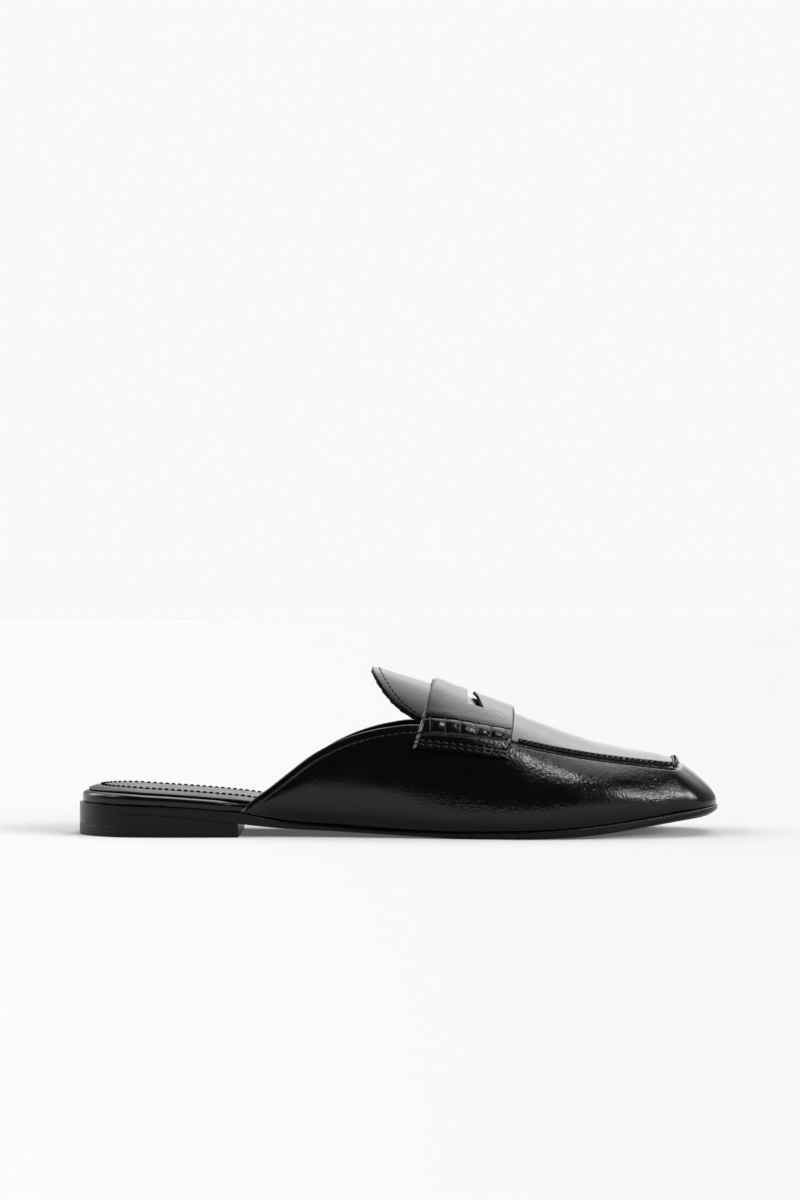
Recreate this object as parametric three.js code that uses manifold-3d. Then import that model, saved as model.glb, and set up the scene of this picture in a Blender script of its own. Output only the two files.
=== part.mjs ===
// Loafer mule, right shoe: low block heel, thin sole, wrapped footbed, padded sock and a leather
// upper with an apron, a raised seam round it, a tongue and a penny strap over the instep.
// Millimetres. +X runs to the toe, -Y to the outer (lateral) side of the foot, +Z up.
import * as THREE from 'three';
import Module from 'manifold-3d';
import { mergeVertices } from 'three/addons/utils/BufferGeometryUtils.js';

const wasm = await Module();
wasm.setup();

// Driving dimensions
const LENGTH = 265;               // heel lip to toe tip
const BALL_WIDTH = 81;            // feather line across the ball of the foot
const INSTEP_HEIGHT = 61;         // crest of the vamp at the back of the strap, above the floor
const HEEL_LIFT = 10.2;           // under side of the sole above the floor, at the back
const TOE_SPRING = 8.6;           // under side of the sole above the floor, at the tip
const HEEL_LENGTH = 66.5;         // back of the heel to its straight breast
const HEEL_INSET = 0.1;           // heel block inside the edge of the sole
const TOP_PIECE_THICKNESS = 4.4;
const TOP_PIECE_PROUD = 0.1;      // top piece outside the edge of the sole
const SOLE_THICKNESS = 3.3;
const SOLE_BEVEL = 0.9;           // rounding of the sole's edge, above and below
const HEEL_ROUND = 27;            // length of the round back of the outline
const TOE_ROUND = 21;             // length of the round front of the outline
const TOE_SQUARENESS = 3;         // 2 is an ellipse, more is squarer
const TOE_SKEW = 1.2;             // the inner corner of the toe is this much further forward
const WALL = 1.8;                 // leather and lining of the upper
const FEATHER_INSET = 0.4;        // upper inside the feather line of the sole
const SEAM_ROUND = 12;            // length over which the apron's front corners turn
const SEAM_SQUARENESS = 8;
const SEAM_RADIUS = 1.35;         // raised seam round the apron, as a half-round step
const THROAT = 150;               // where the apron ends under the strap and the tongue goes on
const TONGUE_LENGTH = 29;         // from the throat back to the tip
const TONGUE_SIDE_GAP = 1.2;      // tongue inside the rim of the quarters, on each side
const TONGUE_SQUARENESS = 2;      // 2 is an ellipse
const TONGUE_THICKNESS = 2.4;
const STRAP_THICKNESS = 2.2;
const STRAP_LOW_THICKNESS = 1.4;  // thinned where its lower ends are sewn down
const STRAP_LIFT = 0.5;           // strap above the vamp that it crosses
const STRAP_BACK_TOP = 146.8;     // edges of the strap over the crest and at its lower ends
const STRAP_BACK_LOW = 137.6;
const STRAP_FRONT_TOP = 179.4;
const STRAP_FRONT_LOW = 176.6;
const STRAP_DROP_BACK = 28;       // lower end of the strap below the crest line, back and front
const STRAP_DROP_FRONT = 19;
const SLOT_BACK = 159.6;          // penny slot: straight back edge, front edge with a point in the middle
const SLOT_LENGTH = 38;
const SLOT_END_WIDTH = 6.6;
const SLOT_MIDDLE_WIDTH = 2.7;
const FOOTBED_INSET = 0.7;        // footbed edge inside the outline where it shows
const FOOTBED_ROUND = 1.2;
const FOOTBED_THICKNESS = 3.6;    // at the heel
const SOCK_INSET = 3.1;           // sock edge inside the outline
const SOCK_THICKNESS = 1.7;       // at its edge
const SOCK_PAD = 1.1;             // rise of the padding from the edge to the row of stitches
const SOCK_PAD_WIDTH = 5.5;
const SOCK_CLEARANCE = 1.1;       // sock inside the lining of the quarters
const GAP = 0.3;                  // clearance between pieces that meet

// Plan outline at the feather line: station as a share of LENGTH, half widths of BALL_WIDTH
const OUTLINE = [
  { station: 0.000, lateral: 0.330, medial: 0.330 },
  { station: 0.102, lateral: 0.345, medial: 0.340 },
  { station: 0.190, lateral: 0.349, medial: 0.333 },
  { station: 0.268, lateral: 0.346, medial: 0.309 },
  { station: 0.358, lateral: 0.353, medial: 0.291 },
  { station: 0.449, lateral: 0.383, medial: 0.309 },
  { station: 0.540, lateral: 0.436, medial: 0.358 },
  { station: 0.620, lateral: 0.481, medial: 0.426 },
  { station: 0.690, lateral: 0.506, medial: 0.479 },
  { station: 0.750, lateral: 0.494, medial: 0.509 },
  { station: 0.811, lateral: 0.454, medial: 0.510 },
  { station: 0.870, lateral: 0.393, medial: 0.484 },
  { station: 0.930, lateral: 0.319, medial: 0.432 },
  { station: 1.000, lateral: 0.253, medial: 0.377 },
];

// Under side of the sole: shares of HEEL_LIFT and TOE_SPRING, and thickness of SOLE_THICKNESS.
// edge is how far the sole's edge stands outside the feather line, as a share of SOLE_THICKNESS.
const SOLE = [
  { station: 0.000, heel: 1.00, toe: 0.000, thickness: 1.30, edge: 0.24 },
  { station: 0.147, heel: 0.86, toe: 0.000, thickness: 1.28, edge: 0.24 },
  { station: 0.253, heel: 0.54, toe: 0.000, thickness: 1.30, edge: 0.10 },
  { station: 0.325, heel: 0.34, toe: 0.000, thickness: 0.92, edge: -0.30 },
  { station: 0.396, heel: 0.25, toe: 0.000, thickness: 0.72, edge: -0.36 },
  { station: 0.468, heel: 0.15, toe: 0.000, thickness: 0.64, edge: -0.36 },
  { station: 0.540, heel: 0.06, toe: 0.000, thickness: 0.72, edge: -0.20 },
  { station: 0.600, heel: 0.00, toe: 0.000, thickness: 0.88, edge: 0.00 },
  { station: 0.690, heel: 0.00, toe: 0.000, thickness: 1.00, edge: 0.10 },
  { station: 0.755, heel: 0.00, toe: 0.070, thickness: 1.07, edge: 0.12 },
  { station: 0.804, heel: 0.00, toe: 0.190, thickness: 1.14, edge: 0.12 },
  { station: 0.879, heel: 0.00, toe: 0.500, thickness: 1.15, edge: 0.12 },
  { station: 0.943, heel: 0.00, toe: 0.790, thickness: 1.15, edge: 0.12 },
  { station: 1.000, heel: 0.00, toe: 1.000, thickness: 1.16, edge: 0.12 },
];

// Topline of the quarters, then the seam of the apron: height and how much lower the medial side
// runs as shares of INSTEP_HEIGHT, half widths of BALL_WIDTH, and the fall of the side wall below
// the rim, in degrees.
const RIM = [
  { station: 0.2566, height: 0.180, lower: 0.000, lateral: 0.338, medial: 0.303, fall: 86 },
  { station: 0.2736, height: 0.254, lower: 0.020, lateral: 0.343, medial: 0.308, fall: 84 },
  { station: 0.2925, height: 0.315, lower: 0.030, lateral: 0.348, medial: 0.313, fall: 82 },
  { station: 0.3264, height: 0.433, lower: 0.036, lateral: 0.350, medial: 0.320, fall: 78 },
  { station: 0.3642, height: 0.557, lower: 0.034, lateral: 0.350, medial: 0.328, fall: 73 },
  { station: 0.4075, height: 0.656, lower: 0.022, lateral: 0.350, medial: 0.336, fall: 68 },
  { station: 0.4453, height: 0.712, lower: 0.012, lateral: 0.350, medial: 0.345, fall: 63 },
  { station: 0.4792, height: 0.743, lower: 0.004, lateral: 0.351, medial: 0.353, fall: 58 },
  { station: 0.5189, height: 0.763, lower: 0.000, lateral: 0.354, medial: 0.361, fall: 52 },
  { station: 0.5660, height: 0.755, lower: 0.000, lateral: 0.360, medial: 0.370, fall: 46 },
  { station: 0.6226, height: 0.708, lower: 0.000, lateral: 0.371, medial: 0.383, fall: 42 },
  { station: 0.6830, height: 0.651, lower: 0.000, lateral: 0.370, medial: 0.383, fall: 39 },
  { station: 0.7321, height: 0.602, lower: 0.000, lateral: 0.353, medial: 0.378, fall: 37 },
  { station: 0.8113, height: 0.541, lower: 0.000, lateral: 0.309, medial: 0.353, fall: 35 },
  { station: 0.8906, height: 0.497, lower: 0.000, lateral: 0.259, medial: 0.321, fall: 33 },
  { station: 0.9321, height: 0.477, lower: 0.000, lateral: 0.235, medial: 0.301, fall: 33 },
];

// Crest of tongue and apron, as a share of INSTEP_HEIGHT
const CREST = [
  { station: 0.4566, height: 1.136 },
  { station: 0.4717, height: 1.123 },
  { station: 0.4981, height: 1.087 },
  { station: 0.5509, height: 1.018 },
  { station: 0.6038, height: 0.938 },
  { station: 0.6679, height: 0.836 },
  { station: 0.7151, height: 0.759 },
  { station: 0.7698, height: 0.670 },
  { station: 0.8019, height: 0.624 },
  { station: 0.8604, height: 0.570 },
  { station: 0.9019, height: 0.538 },
  { station: 0.9321, height: 0.505 },
];

// Side wall: how far its lower and upper handles reach. bulge is a share of BALL_WIDTH, rise and
// lean are shares of the wall's own height.
const SIDE = [
  { station: 0.257, lateral: 0.010, medial: 0.006, rise: 0.48, lean: 0.28 },
  { station: 0.347, lateral: 0.032, medial: 0.020, rise: 0.44, lean: 0.28 },
  { station: 0.396, lateral: 0.042, medial: 0.028, rise: 0.24, lean: 0.30 },
  { station: 0.472, lateral: 0.058, medial: 0.044, rise: 0.20, lean: 0.28 },
  { station: 0.532, lateral: 0.058, medial: 0.054, rise: 0.17, lean: 0.24 },
  { station: 0.577, lateral: 0.054, medial: 0.060, rise: 0.18, lean: 0.20 },
  { station: 0.642, lateral: 0.058, medial: 0.066, rise: 0.20, lean: 0.27 },
  { station: 0.709, lateral: 0.062, medial: 0.070, rise: 0.30, lean: 0.32 },
  { station: 0.781, lateral: 0.062, medial: 0.070, rise: 0.44, lean: 0.42 },
  { station: 0.838, lateral: 0.060, medial: 0.068, rise: 0.46, lean: 0.40 },
  { station: 0.887, lateral: 0.056, medial: 0.060, rise: 0.34, lean: 0.34 },
  { station: 0.925, lateral: 0.050, medial: 0.052, rise: 0.24, lean: 0.32 },
  { station: 1.000, lateral: 0.032, medial: 0.032, rise: 0.24, lean: 0.36 },
];

// Footbed: top above the sole's own top, as a share of FOOTBED_THICKNESS
const FOOTBED = [
  { station: 0.000, thickness: 0.68 },
  { station: 0.147, thickness: 0.84 },
  { station: 0.280, thickness: 1.04 },
  { station: 0.380, thickness: 1.45 },
  { station: 0.480, thickness: 1.35 },
  { station: 0.600, thickness: 0.85 },
  { station: 0.700, thickness: 0.70 },
  { station: 1.000, thickness: 0.70 },
];

// The quarters start at the topline's first row, and the apron ends at the seam's last one
const QUARTER_START = RIM[0].station * LENGTH;
const SEAM_FRONT = RIM[RIM.length - 1].station * LENGTH;

// Value of one column at x, by a monotone cubic through the rows
function column(table, name, x) {
  const at = (i) => table[i].station * LENGTH;
  const last = table.length - 1;
  if (x <= at(0)) return table[0][name];
  if (x >= at(last)) return table[last][name];
  let i = 0;
  while (x > at(i + 1)) i += 1;
  const slope = (k) => (table[k + 1][name] - table[k][name]) / (at(k + 1) - at(k));
  const tangent = (k) => {
    if (k === 0) return slope(0);
    if (k === last) return slope(last - 1);
    const before = slope(k - 1);
    const after = slope(k);
    return before * after <= 0 ? 0 : (2 * before * after) / (before + after);
  };
  const run = at(i + 1) - at(i);
  const t = (x - at(i)) / run;
  const rise = table[i + 1][name] - table[i][name];
  const a = tangent(i) * run;
  const b = tangent(i + 1) * run;
  return table[i][name] + t * (a + t * (3 * rise - 2 * a - b + t * (a + b - 2 * rise)));
}

const smooth = (t) => {
  const u = Math.min(1, Math.max(0, t));
  return u * u * (3 - 2 * u);
};
const mix = (a, b, t) => a + (b - a) * t;
const spread = (count, f) => Array.from({ length: count + 1 }, (_, i) => f(i / count));

// Heights
const soleBottom = (x) => HEEL_LIFT * column(SOLE, 'heel', x) + TOE_SPRING * column(SOLE, 'toe', x);
const soleTop = (x) => soleBottom(x) + SOLE_THICKNESS * column(SOLE, 'thickness', x);
const featherHeight = (x) => soleTop(x) + GAP;
const footbedTop = (x) => featherHeight(x) + FOOTBED_THICKNESS * column(FOOTBED, 'thickness', x);
const rimHeight = (x) => INSTEP_HEIGHT * column(RIM, 'height', x);
const crestHeight = (x) => INSTEP_HEIGHT * column(CREST, 'height', x);

// Two plan curves: the feather line of the last, and the rim (topline and apron seam)
const featherPlan = {
  table: OUTLINE,
  back: 0,
  front: LENGTH - SOLE_THICKNESS * column(SOLE, 'edge', LENGTH),
  backRound: HEEL_ROUND,
  frontRound: TOE_ROUND,
  squareness: TOE_SQUARENESS,
};
const rimPlan = {
  table: RIM,
  back: QUARTER_START,
  front: SEAM_FRONT,
  backRound: 0,
  frontRound: SEAM_ROUND,
  squareness: SEAM_SQUARENESS,
};

// A stop is a place along half an outline: in the round back, along the side, or round the toe.
// The side's stops are shares of the way from QUARTER_START to the round toe.
const LATERAL = -1;
const MEDIAL = 1;
const halfName = (side) => (side === LATERAL ? 'lateral' : 'medial');
const centre = (plan, x) =>
  (BALL_WIDTH * (column(plan.table, 'medial', x) - column(plan.table, 'lateral', x))) / 2;
const halfWidth = (plan, x) =>
  (BALL_WIDTH * (column(plan.table, 'medial', x) + column(plan.table, 'lateral', x))) / 2;

function backStop(plan, side, share, out) {
  const angle = (share * Math.PI) / 2;
  const x = plan.back - out + (plan.backRound + out) * (1 - Math.cos(angle));
  const y = centre(plan, x) + side * (halfWidth(plan, x) + out) * Math.sin(angle);
  return { x, y };
}

function sideStop(plan, side, x, out) {
  return { x, y: side * (BALL_WIDTH * column(plan.table, halfName(side), x) + out) };
}

function frontStop(plan, side, share, out) {
  const angle = (share * Math.PI) / 2;
  const power = 2 / plan.squareness;
  const along = Math.sin(angle) ** power;
  const across = Math.max(0, Math.cos(angle)) ** power;
  const round = plan.frontRound + out;
  const start = plan.front - plan.frontRound;
  const skew = TOE_SKEW * side * across * Math.sin(angle);
  const x = start + round * along + skew;
  const y = centre(plan, x) + side * (halfWidth(plan, x) + out) * across;
  return { x, y };
}

// Side stations shared by every piece that follows the outline
const SIDE_END = featherPlan.front - TOE_ROUND;
const quarterStations = [0, 0.025, 0.055, 0.09, 0.13, 0.17, 0.21, 0.25, 0.29, 0.33, 0.37, 0.41, 0.45,
  0.49, 0.53, 0.58, 0.63, 0.68, 0.73, 0.78, 0.83, 0.88, 0.94, 1]
  .map((share) => mix(QUARTER_START, SIDE_END, share));
const TOE_STEPS = 12;
const BACK_STEPS = 9;
const HEEL_SIDE_STEPS = 4;

// The seam lags behind the feather line towards the toe, where the vamp slopes back
const LAG_START = 0.74 * LENGTH;
const seamStation = (x) =>
  x - (SIDE_END - (SEAM_FRONT - SEAM_ROUND)) * smooth((x - LAG_START) / (SIDE_END - LAG_START));

// Surface of apron and tongue over any point of the plan
function apronHeight(x, y) {
  const across = (y - centre(rimPlan, x)) / halfWidth(rimPlan, x);
  return rimHeight(x) + (crestHeight(x) - rimHeight(x)) * (1 - across * across);
}

// Side wall of the upper: a cubic from the feather line up to the rim, at one stop of one side
function sidePoint(side, stop, v) {
  const foot = stop.front === undefined
    ? sideStop(featherPlan, side, stop.x, -FEATHER_INSET)
    : frontStop(featherPlan, side, stop.front, -FEATHER_INSET);
  const rim = stop.front === undefined
    ? sideStop(rimPlan, side, seamStation(stop.x), 0)
    : frontStop(rimPlan, side, stop.front, 0);
  const turn = stop.front === undefined ? 0 : (stop.front * Math.PI) / 2;
  const toe = smooth(turn / (Math.PI / 2));
  const out = new THREE.Vector2(Math.sin(turn * toe), side * Math.cos(turn * toe)).normalize();
  const footZ = featherHeight(foot.x);
  const lower = side === MEDIAL ? INSTEP_HEIGHT * column(RIM, 'lower', rim.x) : 0;
  const rimZ = apronHeight(rim.x, rim.y) - lower;
  const height = rimZ - footZ;
  const along = mix(foot.x, LENGTH, toe);
  const bulge = BALL_WIDTH * column(SIDE, halfName(side), along);
  const rise = height * column(SIDE, 'rise', along);
  const lean = height * column(SIDE, 'lean', along);
  const fall = THREE.MathUtils.degToRad(column(RIM, 'fall', rim.x));
  const a = new THREE.Vector3(foot.x, foot.y, footZ);
  const b = new THREE.Vector3(foot.x + out.x * bulge, foot.y + out.y * bulge, footZ + rise);
  const d = new THREE.Vector3(rim.x, rim.y, rimZ);
  const reach = lean * Math.cos(fall);
  const c = new THREE.Vector3(rim.x + out.x * reach, rim.y + out.y * reach, rimZ - lean * Math.sin(fall));
  return new THREE.CubicBezierCurve3(a, b, c, d).getPoint(v);
}

// Mesh tools. A grid is a list of rows of points; loops of it may close in either direction.
function weld(points, triangles) {
  const geometry = new THREE.BufferGeometry();
  const flat = points.flatMap((p) => [p.x, p.y, p.z]);
  geometry.setAttribute('position', new THREE.Float32BufferAttribute(flat, 3));
  geometry.setIndex(triangles.flat());
  const merged = mergeVertices(geometry, 1e-3);
  const index = merged.index.array;
  const kept = [];
  for (let i = 0; i < index.length; i += 3) {
    const [a, b, c] = [index[i], index[i + 1], index[i + 2]];
    if (a !== b && b !== c && a !== c) kept.push(a, b, c);
  }
  merged.setIndex(kept);
  return merged;
}

function toManifold(geometry) {
  return new wasm.Manifold(new wasm.Mesh({
    numProp: 3,
    vertProperties: new Float32Array(geometry.attributes.position.array),
    triVerts: new Uint32Array(geometry.index.array),
  }));
}

function toGeometry(manifold) {
  const mesh = manifold.getMesh();
  const geometry = new THREE.BufferGeometry();
  geometry.setAttribute('position', new THREE.Float32BufferAttribute(mesh.vertProperties, 3));
  geometry.setIndex([...mesh.triVerts]);
  return geometry;
}

// Rows of rings, each a closed loop of the same count; the first and last ring lie on a spine
function ringSolid(rings) {
  const count = rings[0].length;
  const triangles = [];
  for (let r = 0; r + 1 < rings.length; r += 1) {
    for (let i = 0; i < count; i += 1) {
      const j = (i + 1) % count;
      const [a, b, c, d] = [r * count + i, r * count + j, (r + 1) * count + j, (r + 1) * count + i];
      triangles.push([a, b, c], [a, c, d]);
    }
  }
  return weld(rings.flat(), triangles);
}

// A sheet with an outer and an inner grid of points, closed round its four edges
function sheetSolid(outer, inner) {
  const rows = outer.length;
  const columns = outer[0].length;
  const half = rows * columns;
  const at = (r, c) => r * columns + c;
  const triangles = [];
  const quad = (a, b, c, d) => triangles.push([a, b, c], [a, c, d]);
  for (let r = 0; r + 1 < rows; r += 1) {
    for (let c = 0; c + 1 < columns; c += 1) {
      quad(at(r, c), at(r + 1, c), at(r + 1, c + 1), at(r, c + 1));
      quad(half + at(r, c), half + at(r, c + 1), half + at(r + 1, c + 1), half + at(r + 1, c));
    }
    quad(at(r, 0), half + at(r, 0), half + at(r + 1, 0), at(r + 1, 0));
    const e = columns - 1;
    quad(at(r, e), at(r + 1, e), half + at(r + 1, e), half + at(r, e));
  }
  const f = rows - 1;
  for (let c = 0; c + 1 < columns; c += 1) {
    quad(at(0, c), at(0, c + 1), half + at(0, c + 1), half + at(0, c));
    quad(at(f, c + 1), at(f, c), half + at(f, c), half + at(f, c + 1));
  }
  return weld([...outer.flat(), ...inner.flat()], triangles);
}

// Grid moved along its own normals, by a distance for each column; the rows run along the shoe and the columns across it
function offsetGrid(grid, distance) {
  const rows = grid.length;
  const columns = grid[0].length;
  return grid.map((row, r) => row.map((point, c) => {
    const down = grid[Math.min(rows - 1, r + 1)][c].clone().sub(grid[Math.max(0, r - 1)][c]);
    const over = row[Math.min(columns - 1, c + 1)].clone().sub(row[Math.max(0, c - 1)]);
    const normal = down.cross(over).normalize();
    return point.clone().addScaledVector(normal, distance(c));
  }));
}

// The same on the surface of apron and tongue, by that surface's own slope
const SLOPE_STEP = 0.5;
function apronOffset(grid, distance) {
  return grid.map((row) => row.map((point) => {
    const { x, y } = point;
    const slopeX = (apronHeight(x + SLOPE_STEP, y) - apronHeight(x - SLOPE_STEP, y)) / (2 * SLOPE_STEP);
    const slopeY = (apronHeight(x, y + SLOPE_STEP) - apronHeight(x, y - SLOPE_STEP)) / (2 * SLOPE_STEP);
    return point.clone().addScaledVector(new THREE.Vector3(-slopeX, -slopeY, 1).normalize(), distance);
  }));
}

// Closed outline of a plate that follows the feather line, from the back to the front
const OUTLINE_STOPS = [
  ...spread(BACK_STEPS, (t) => ({ back: t })),
  ...spread(HEEL_SIDE_STEPS, (t) => ({ x: mix(HEEL_ROUND, QUARTER_START, t) })).slice(1, -1),
  ...quarterStations.map((x) => ({ x })),
  ...spread(TOE_STEPS, (t) => ({ front: t })).slice(1),
];

function outlinePoint(side, stop, out) {
  if (stop.back !== undefined) return backStop(featherPlan, side, stop.back, out(0));
  if (stop.front !== undefined) return frontStop(featherPlan, side, stop.front, out(LENGTH));
  return sideStop(featherPlan, side, stop.x, out(stop.x));
}

function ringOf(stops, out) {
  const lateral = stops.map((stop) => outlinePoint(LATERAL, stop, out));
  const medial = stops.map((stop) => outlinePoint(MEDIAL, stop, out)).reverse();
  return [...lateral, ...medial];
}

// Plate between two height functions. levels lists its rings from under the spine, round the edge,
// and back to the spine: share is the part of the way out from the spine.
function plate(stops, start, end, levels) {
  const rings = levels.map(({ share, out, z }) => ringOf(stops, out).map((p) => {
    const spineX = Math.min(end, Math.max(start, p.x));
    const spineY = centre(featherPlan, spineX);
    const x = mix(spineX, p.x, share);
    const y = mix(spineY, p.y, share);
    return new THREE.Vector3(x, y, z(x));
  }));
  return ringSolid(rings);
}

const SPINE_START = HEEL_ROUND;
const SPINE_END = LENGTH - TOE_ROUND;

const soleEdge = (x) => SOLE_THICKNESS * column(SOLE, 'edge', x);

function outsole() {
  const tucked = (x) => soleEdge(x) - SOLE_BEVEL;
  const bottom = (x) => soleBottom(x);
  const top = (x) => soleTop(x);
  const bevel = (x) => Math.min(SOLE_BEVEL, (top(x) - bottom(x)) / 3);
  return plate(OUTLINE_STOPS, SPINE_START, SPINE_END, [
    { share: 0, out: tucked, z: bottom },
    { share: 1, out: tucked, z: bottom },
    { share: 1, out: soleEdge, z: (x) => bottom(x) + bevel(x) },
    { share: 1, out: soleEdge, z: (x) => top(x) - bevel(x) },
    { share: 1, out: tucked, z: top },
    { share: 0, out: tucked, z: top },
  ]);
}

// Heel outline: the round back and sides of the sole, closed by a straight breast
const BREAST_STEPS = 6;
function heelRing(out) {
  const stops = [
    ...spread(BACK_STEPS, (t) => ({ back: t })),
    ...spread(HEEL_SIDE_STEPS, (t) => ({ x: mix(HEEL_ROUND, HEEL_LENGTH, t) })).slice(1),
  ];
  const lateral = stops.map((stop) => outlinePoint(LATERAL, stop, out));
  const medial = stops.map((stop) => outlinePoint(MEDIAL, stop, out));
  const from = lateral[lateral.length - 1];
  const to = medial[medial.length - 1];
  const breast = spread(BREAST_STEPS, (t) => ({ x: HEEL_LENGTH, y: mix(from.y, to.y, t) })).slice(1, -1);
  return [...lateral, ...breast, ...medial.reverse()];
}

function heelSolid(out, bottom, top) {
  const spineEnd = HEEL_LENGTH - HEEL_ROUND / 2;
  const ring = heelRing(out);
  const level = (share, z) => ring.map((p) => {
    const spineX = Math.min(spineEnd, Math.max(HEEL_ROUND, p.x));
    const x = mix(spineX, p.x, share);
    return new THREE.Vector3(x, mix(centre(featherPlan, spineX), p.y, share), z(x));
  });
  return ringSolid([level(0, bottom), level(1, bottom), level(1, top), level(0.5, top), level(0, top)]);
}

const heelBlock = () =>
  heelSolid((x) => soleEdge(x) - HEEL_INSET, () => TOP_PIECE_THICKNESS + GAP, (x) => soleBottom(x) - GAP);
const topPiece = () => heelSolid((x) => soleEdge(x) + TOP_PIECE_PROUD, () => 0, () => TOP_PIECE_THICKNESS);

// Inside the quarters the footbed and the sock draw in to clear the wall
const insideWall = (x, shown, inside) => {
  const blend = smooth((x - (QUARTER_START - 10)) / 8);
  return -mix(shown, inside, blend);
};

function footbed() {
  const hidden = WALL + FEATHER_INSET + GAP;
  const edge = (x) => insideWall(x, FOOTBED_INSET, hidden);
  const round = (x) => insideWall(x, FOOTBED_INSET + FOOTBED_ROUND, hidden + FOOTBED_ROUND);
  const half = (x) => mix(featherHeight(x), footbedTop(x), 0.5);
  const quarter = (x) => mix(featherHeight(x), footbedTop(x), 0.15);
  return plate(OUTLINE_STOPS, SPINE_START, SPINE_END, [
    { share: 0, out: round, z: featherHeight },
    { share: 1, out: round, z: featherHeight },
    { share: 1, out: edge, z: quarter },
    { share: 1, out: edge, z: half },
    { share: 1, out: round, z: footbedTop },
    { share: 0, out: round, z: footbedTop },
  ]);
}

function sock() {
  const hidden = WALL + FEATHER_INSET + SOCK_CLEARANCE;
  const base = (x) => footbedTop(x) + GAP;
  const lip = (x) => base(x) + SOCK_THICKNESS;
  const inset = (more) => (x) => insideWall(x, SOCK_INSET + more, hidden + more);
  return plate(OUTLINE_STOPS, SPINE_START, SPINE_END, [
    { share: 0, out: inset(0), z: base },
    { share: 1, out: inset(0), z: base },
    { share: 1, out: inset(0), z: (x) => lip(x) - SOCK_THICKNESS / 3 },
    { share: 1, out: inset(SOCK_THICKNESS / 3), z: lip },
    { share: 1, out: inset(SOCK_PAD_WIDTH / 2), z: (x) => lip(x) + SOCK_PAD * 0.75 },
    { share: 1, out: inset(SOCK_PAD_WIDTH), z: (x) => lip(x) + SOCK_PAD },
    { share: 0, out: inset(SOCK_PAD_WIDTH), z: (x) => lip(x) + SOCK_PAD },
  ]);
}

// Stops of the upper: the side from the quarter's end forward, then round the toe
const WALL_STEPS = 8;
const sideStops = quarterStations.map((x) => ({ x }));
const toeStops = spread(TOE_STEPS, (t) => ({ front: t })).slice(1);

function sideWall() {
  const half = [...sideStops, ...toeStops];
  const lateral = half.map((stop) => spread(WALL_STEPS, (v) => sidePoint(LATERAL, stop, v)));
  const medial = half.slice(0, -1).reverse().map((stop) => spread(WALL_STEPS, (v) => sidePoint(MEDIAL, stop, v)));
  const outer = [...lateral, ...medial];
  return sheetSolid(outer, offsetGrid(outer, () => -WALL));
}

// Apron: rows across the shoe from the throat to the front, a little wider than its seam
const APRON_STEPS = 12;
function apronRow(from, to) {
  return spread(APRON_STEPS, (t) => {
    const x = mix(from.x, to.x, t);
    const y = mix(from.y, to.y, t);
    return new THREE.Vector3(x, y, apronHeight(x, y));
  });
}

function apron() {
  const lap = WALL / 3;
  const stations = [THROAT + GAP, ...quarterStations.map(seamStation).filter((x) => x > THROAT + 4)];
  const rows = stations.map((x) => apronRow(sideStop(rimPlan, LATERAL, x, lap), sideStop(rimPlan, MEDIAL, x, lap)));
  const shares = toeStops.map((stop) => stop.front).filter((share) => share < 0.95);
  shares.forEach((share) => rows.push(
    apronRow(frontStop(rimPlan, LATERAL, share, lap), frontStop(rimPlan, MEDIAL, share, lap))));
  return sheetSolid(rows, apronOffset(rows, -WALL));
}

// Raised seam: a half-round bead along the rim, from the front edge of the strap round the toe
const BEAD_SIDES = 8;
function bead() {
  const start = STRAP_FRONT_TOP + GAP;
  const stops = [...sideStops.filter((stop) => seamStation(stop.x) > start + 2), ...toeStops];
  const first = (side) => {
    const p = sideStop(rimPlan, side, start, 0);
    return new THREE.Vector3(p.x, p.y, apronHeight(p.x, p.y));
  };
  const path = [
    first(LATERAL),
    ...stops.map((stop) => sidePoint(LATERAL, stop, 1)),
    ...stops.slice(0, -1).reverse().map((stop) => sidePoint(MEDIAL, stop, 1)),
    first(MEDIAL),
  ];
  const rings = path.map((point, i) => {
    const along = path[Math.min(path.length - 1, i + 1)].clone().sub(path[Math.max(0, i - 1)]).normalize();
    const across = new THREE.Vector3(0, 0, 1).cross(along).normalize();
    const up = along.clone().cross(across);
    return spread(BEAD_SIDES, (t) => t * 2 * Math.PI).slice(0, -1).map((angle) => point.clone()
      .addScaledVector(across, SEAM_RADIUS * Math.cos(angle))
      .addScaledVector(up, SEAM_RADIUS * Math.sin(angle)));
  });
  const tip = (point) => Array.from({ length: BEAD_SIDES }, () => point.clone());
  return ringSolid([tip(path[0]), ...rings, tip(path[path.length - 1])]);
}

function upper() {
  const wall = toManifold(sideWall());
  const top = toManifold(apron());
  const seam = toManifold(bead());
  return toGeometry(wall.add(top).add(seam));
}

// Tongue: the apron's surface carried back from the throat to a round tip. Its rows fan out from
// the throat to the edge; the edge stops short of the throat's ends by a small angle.
const TONGUE_ROWS = 10;
const TONGUE_STEPS = 22;
const TONGUE_END_ANGLE = 86;
function tongue() {
  const columns = spread(TONGUE_STEPS, (u) => THREE.MathUtils.degToRad(TONGUE_END_ANGLE * (2 * u - 1)));
  const power = 2 / TONGUE_SQUARENESS;
  const half = halfWidth(rimPlan, THROAT) - TONGUE_SIDE_GAP;
  const rows = spread(TONGUE_ROWS, (t) => columns.map((angle) => {
    const x = THROAT - TONGUE_LENGTH * Math.cos(angle) ** power * (1 - t);
    const side = Math.sign(angle) * Math.abs(Math.sin(angle)) ** power;
    const y = centre(rimPlan, x) + half * mix(side, angle / columns[TONGUE_STEPS], t);
    return new THREE.Vector3(x, y, apronHeight(x, y));
  }));
  return sheetSolid(rows, apronOffset(rows, -TONGUE_THICKNESS));
}

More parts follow.
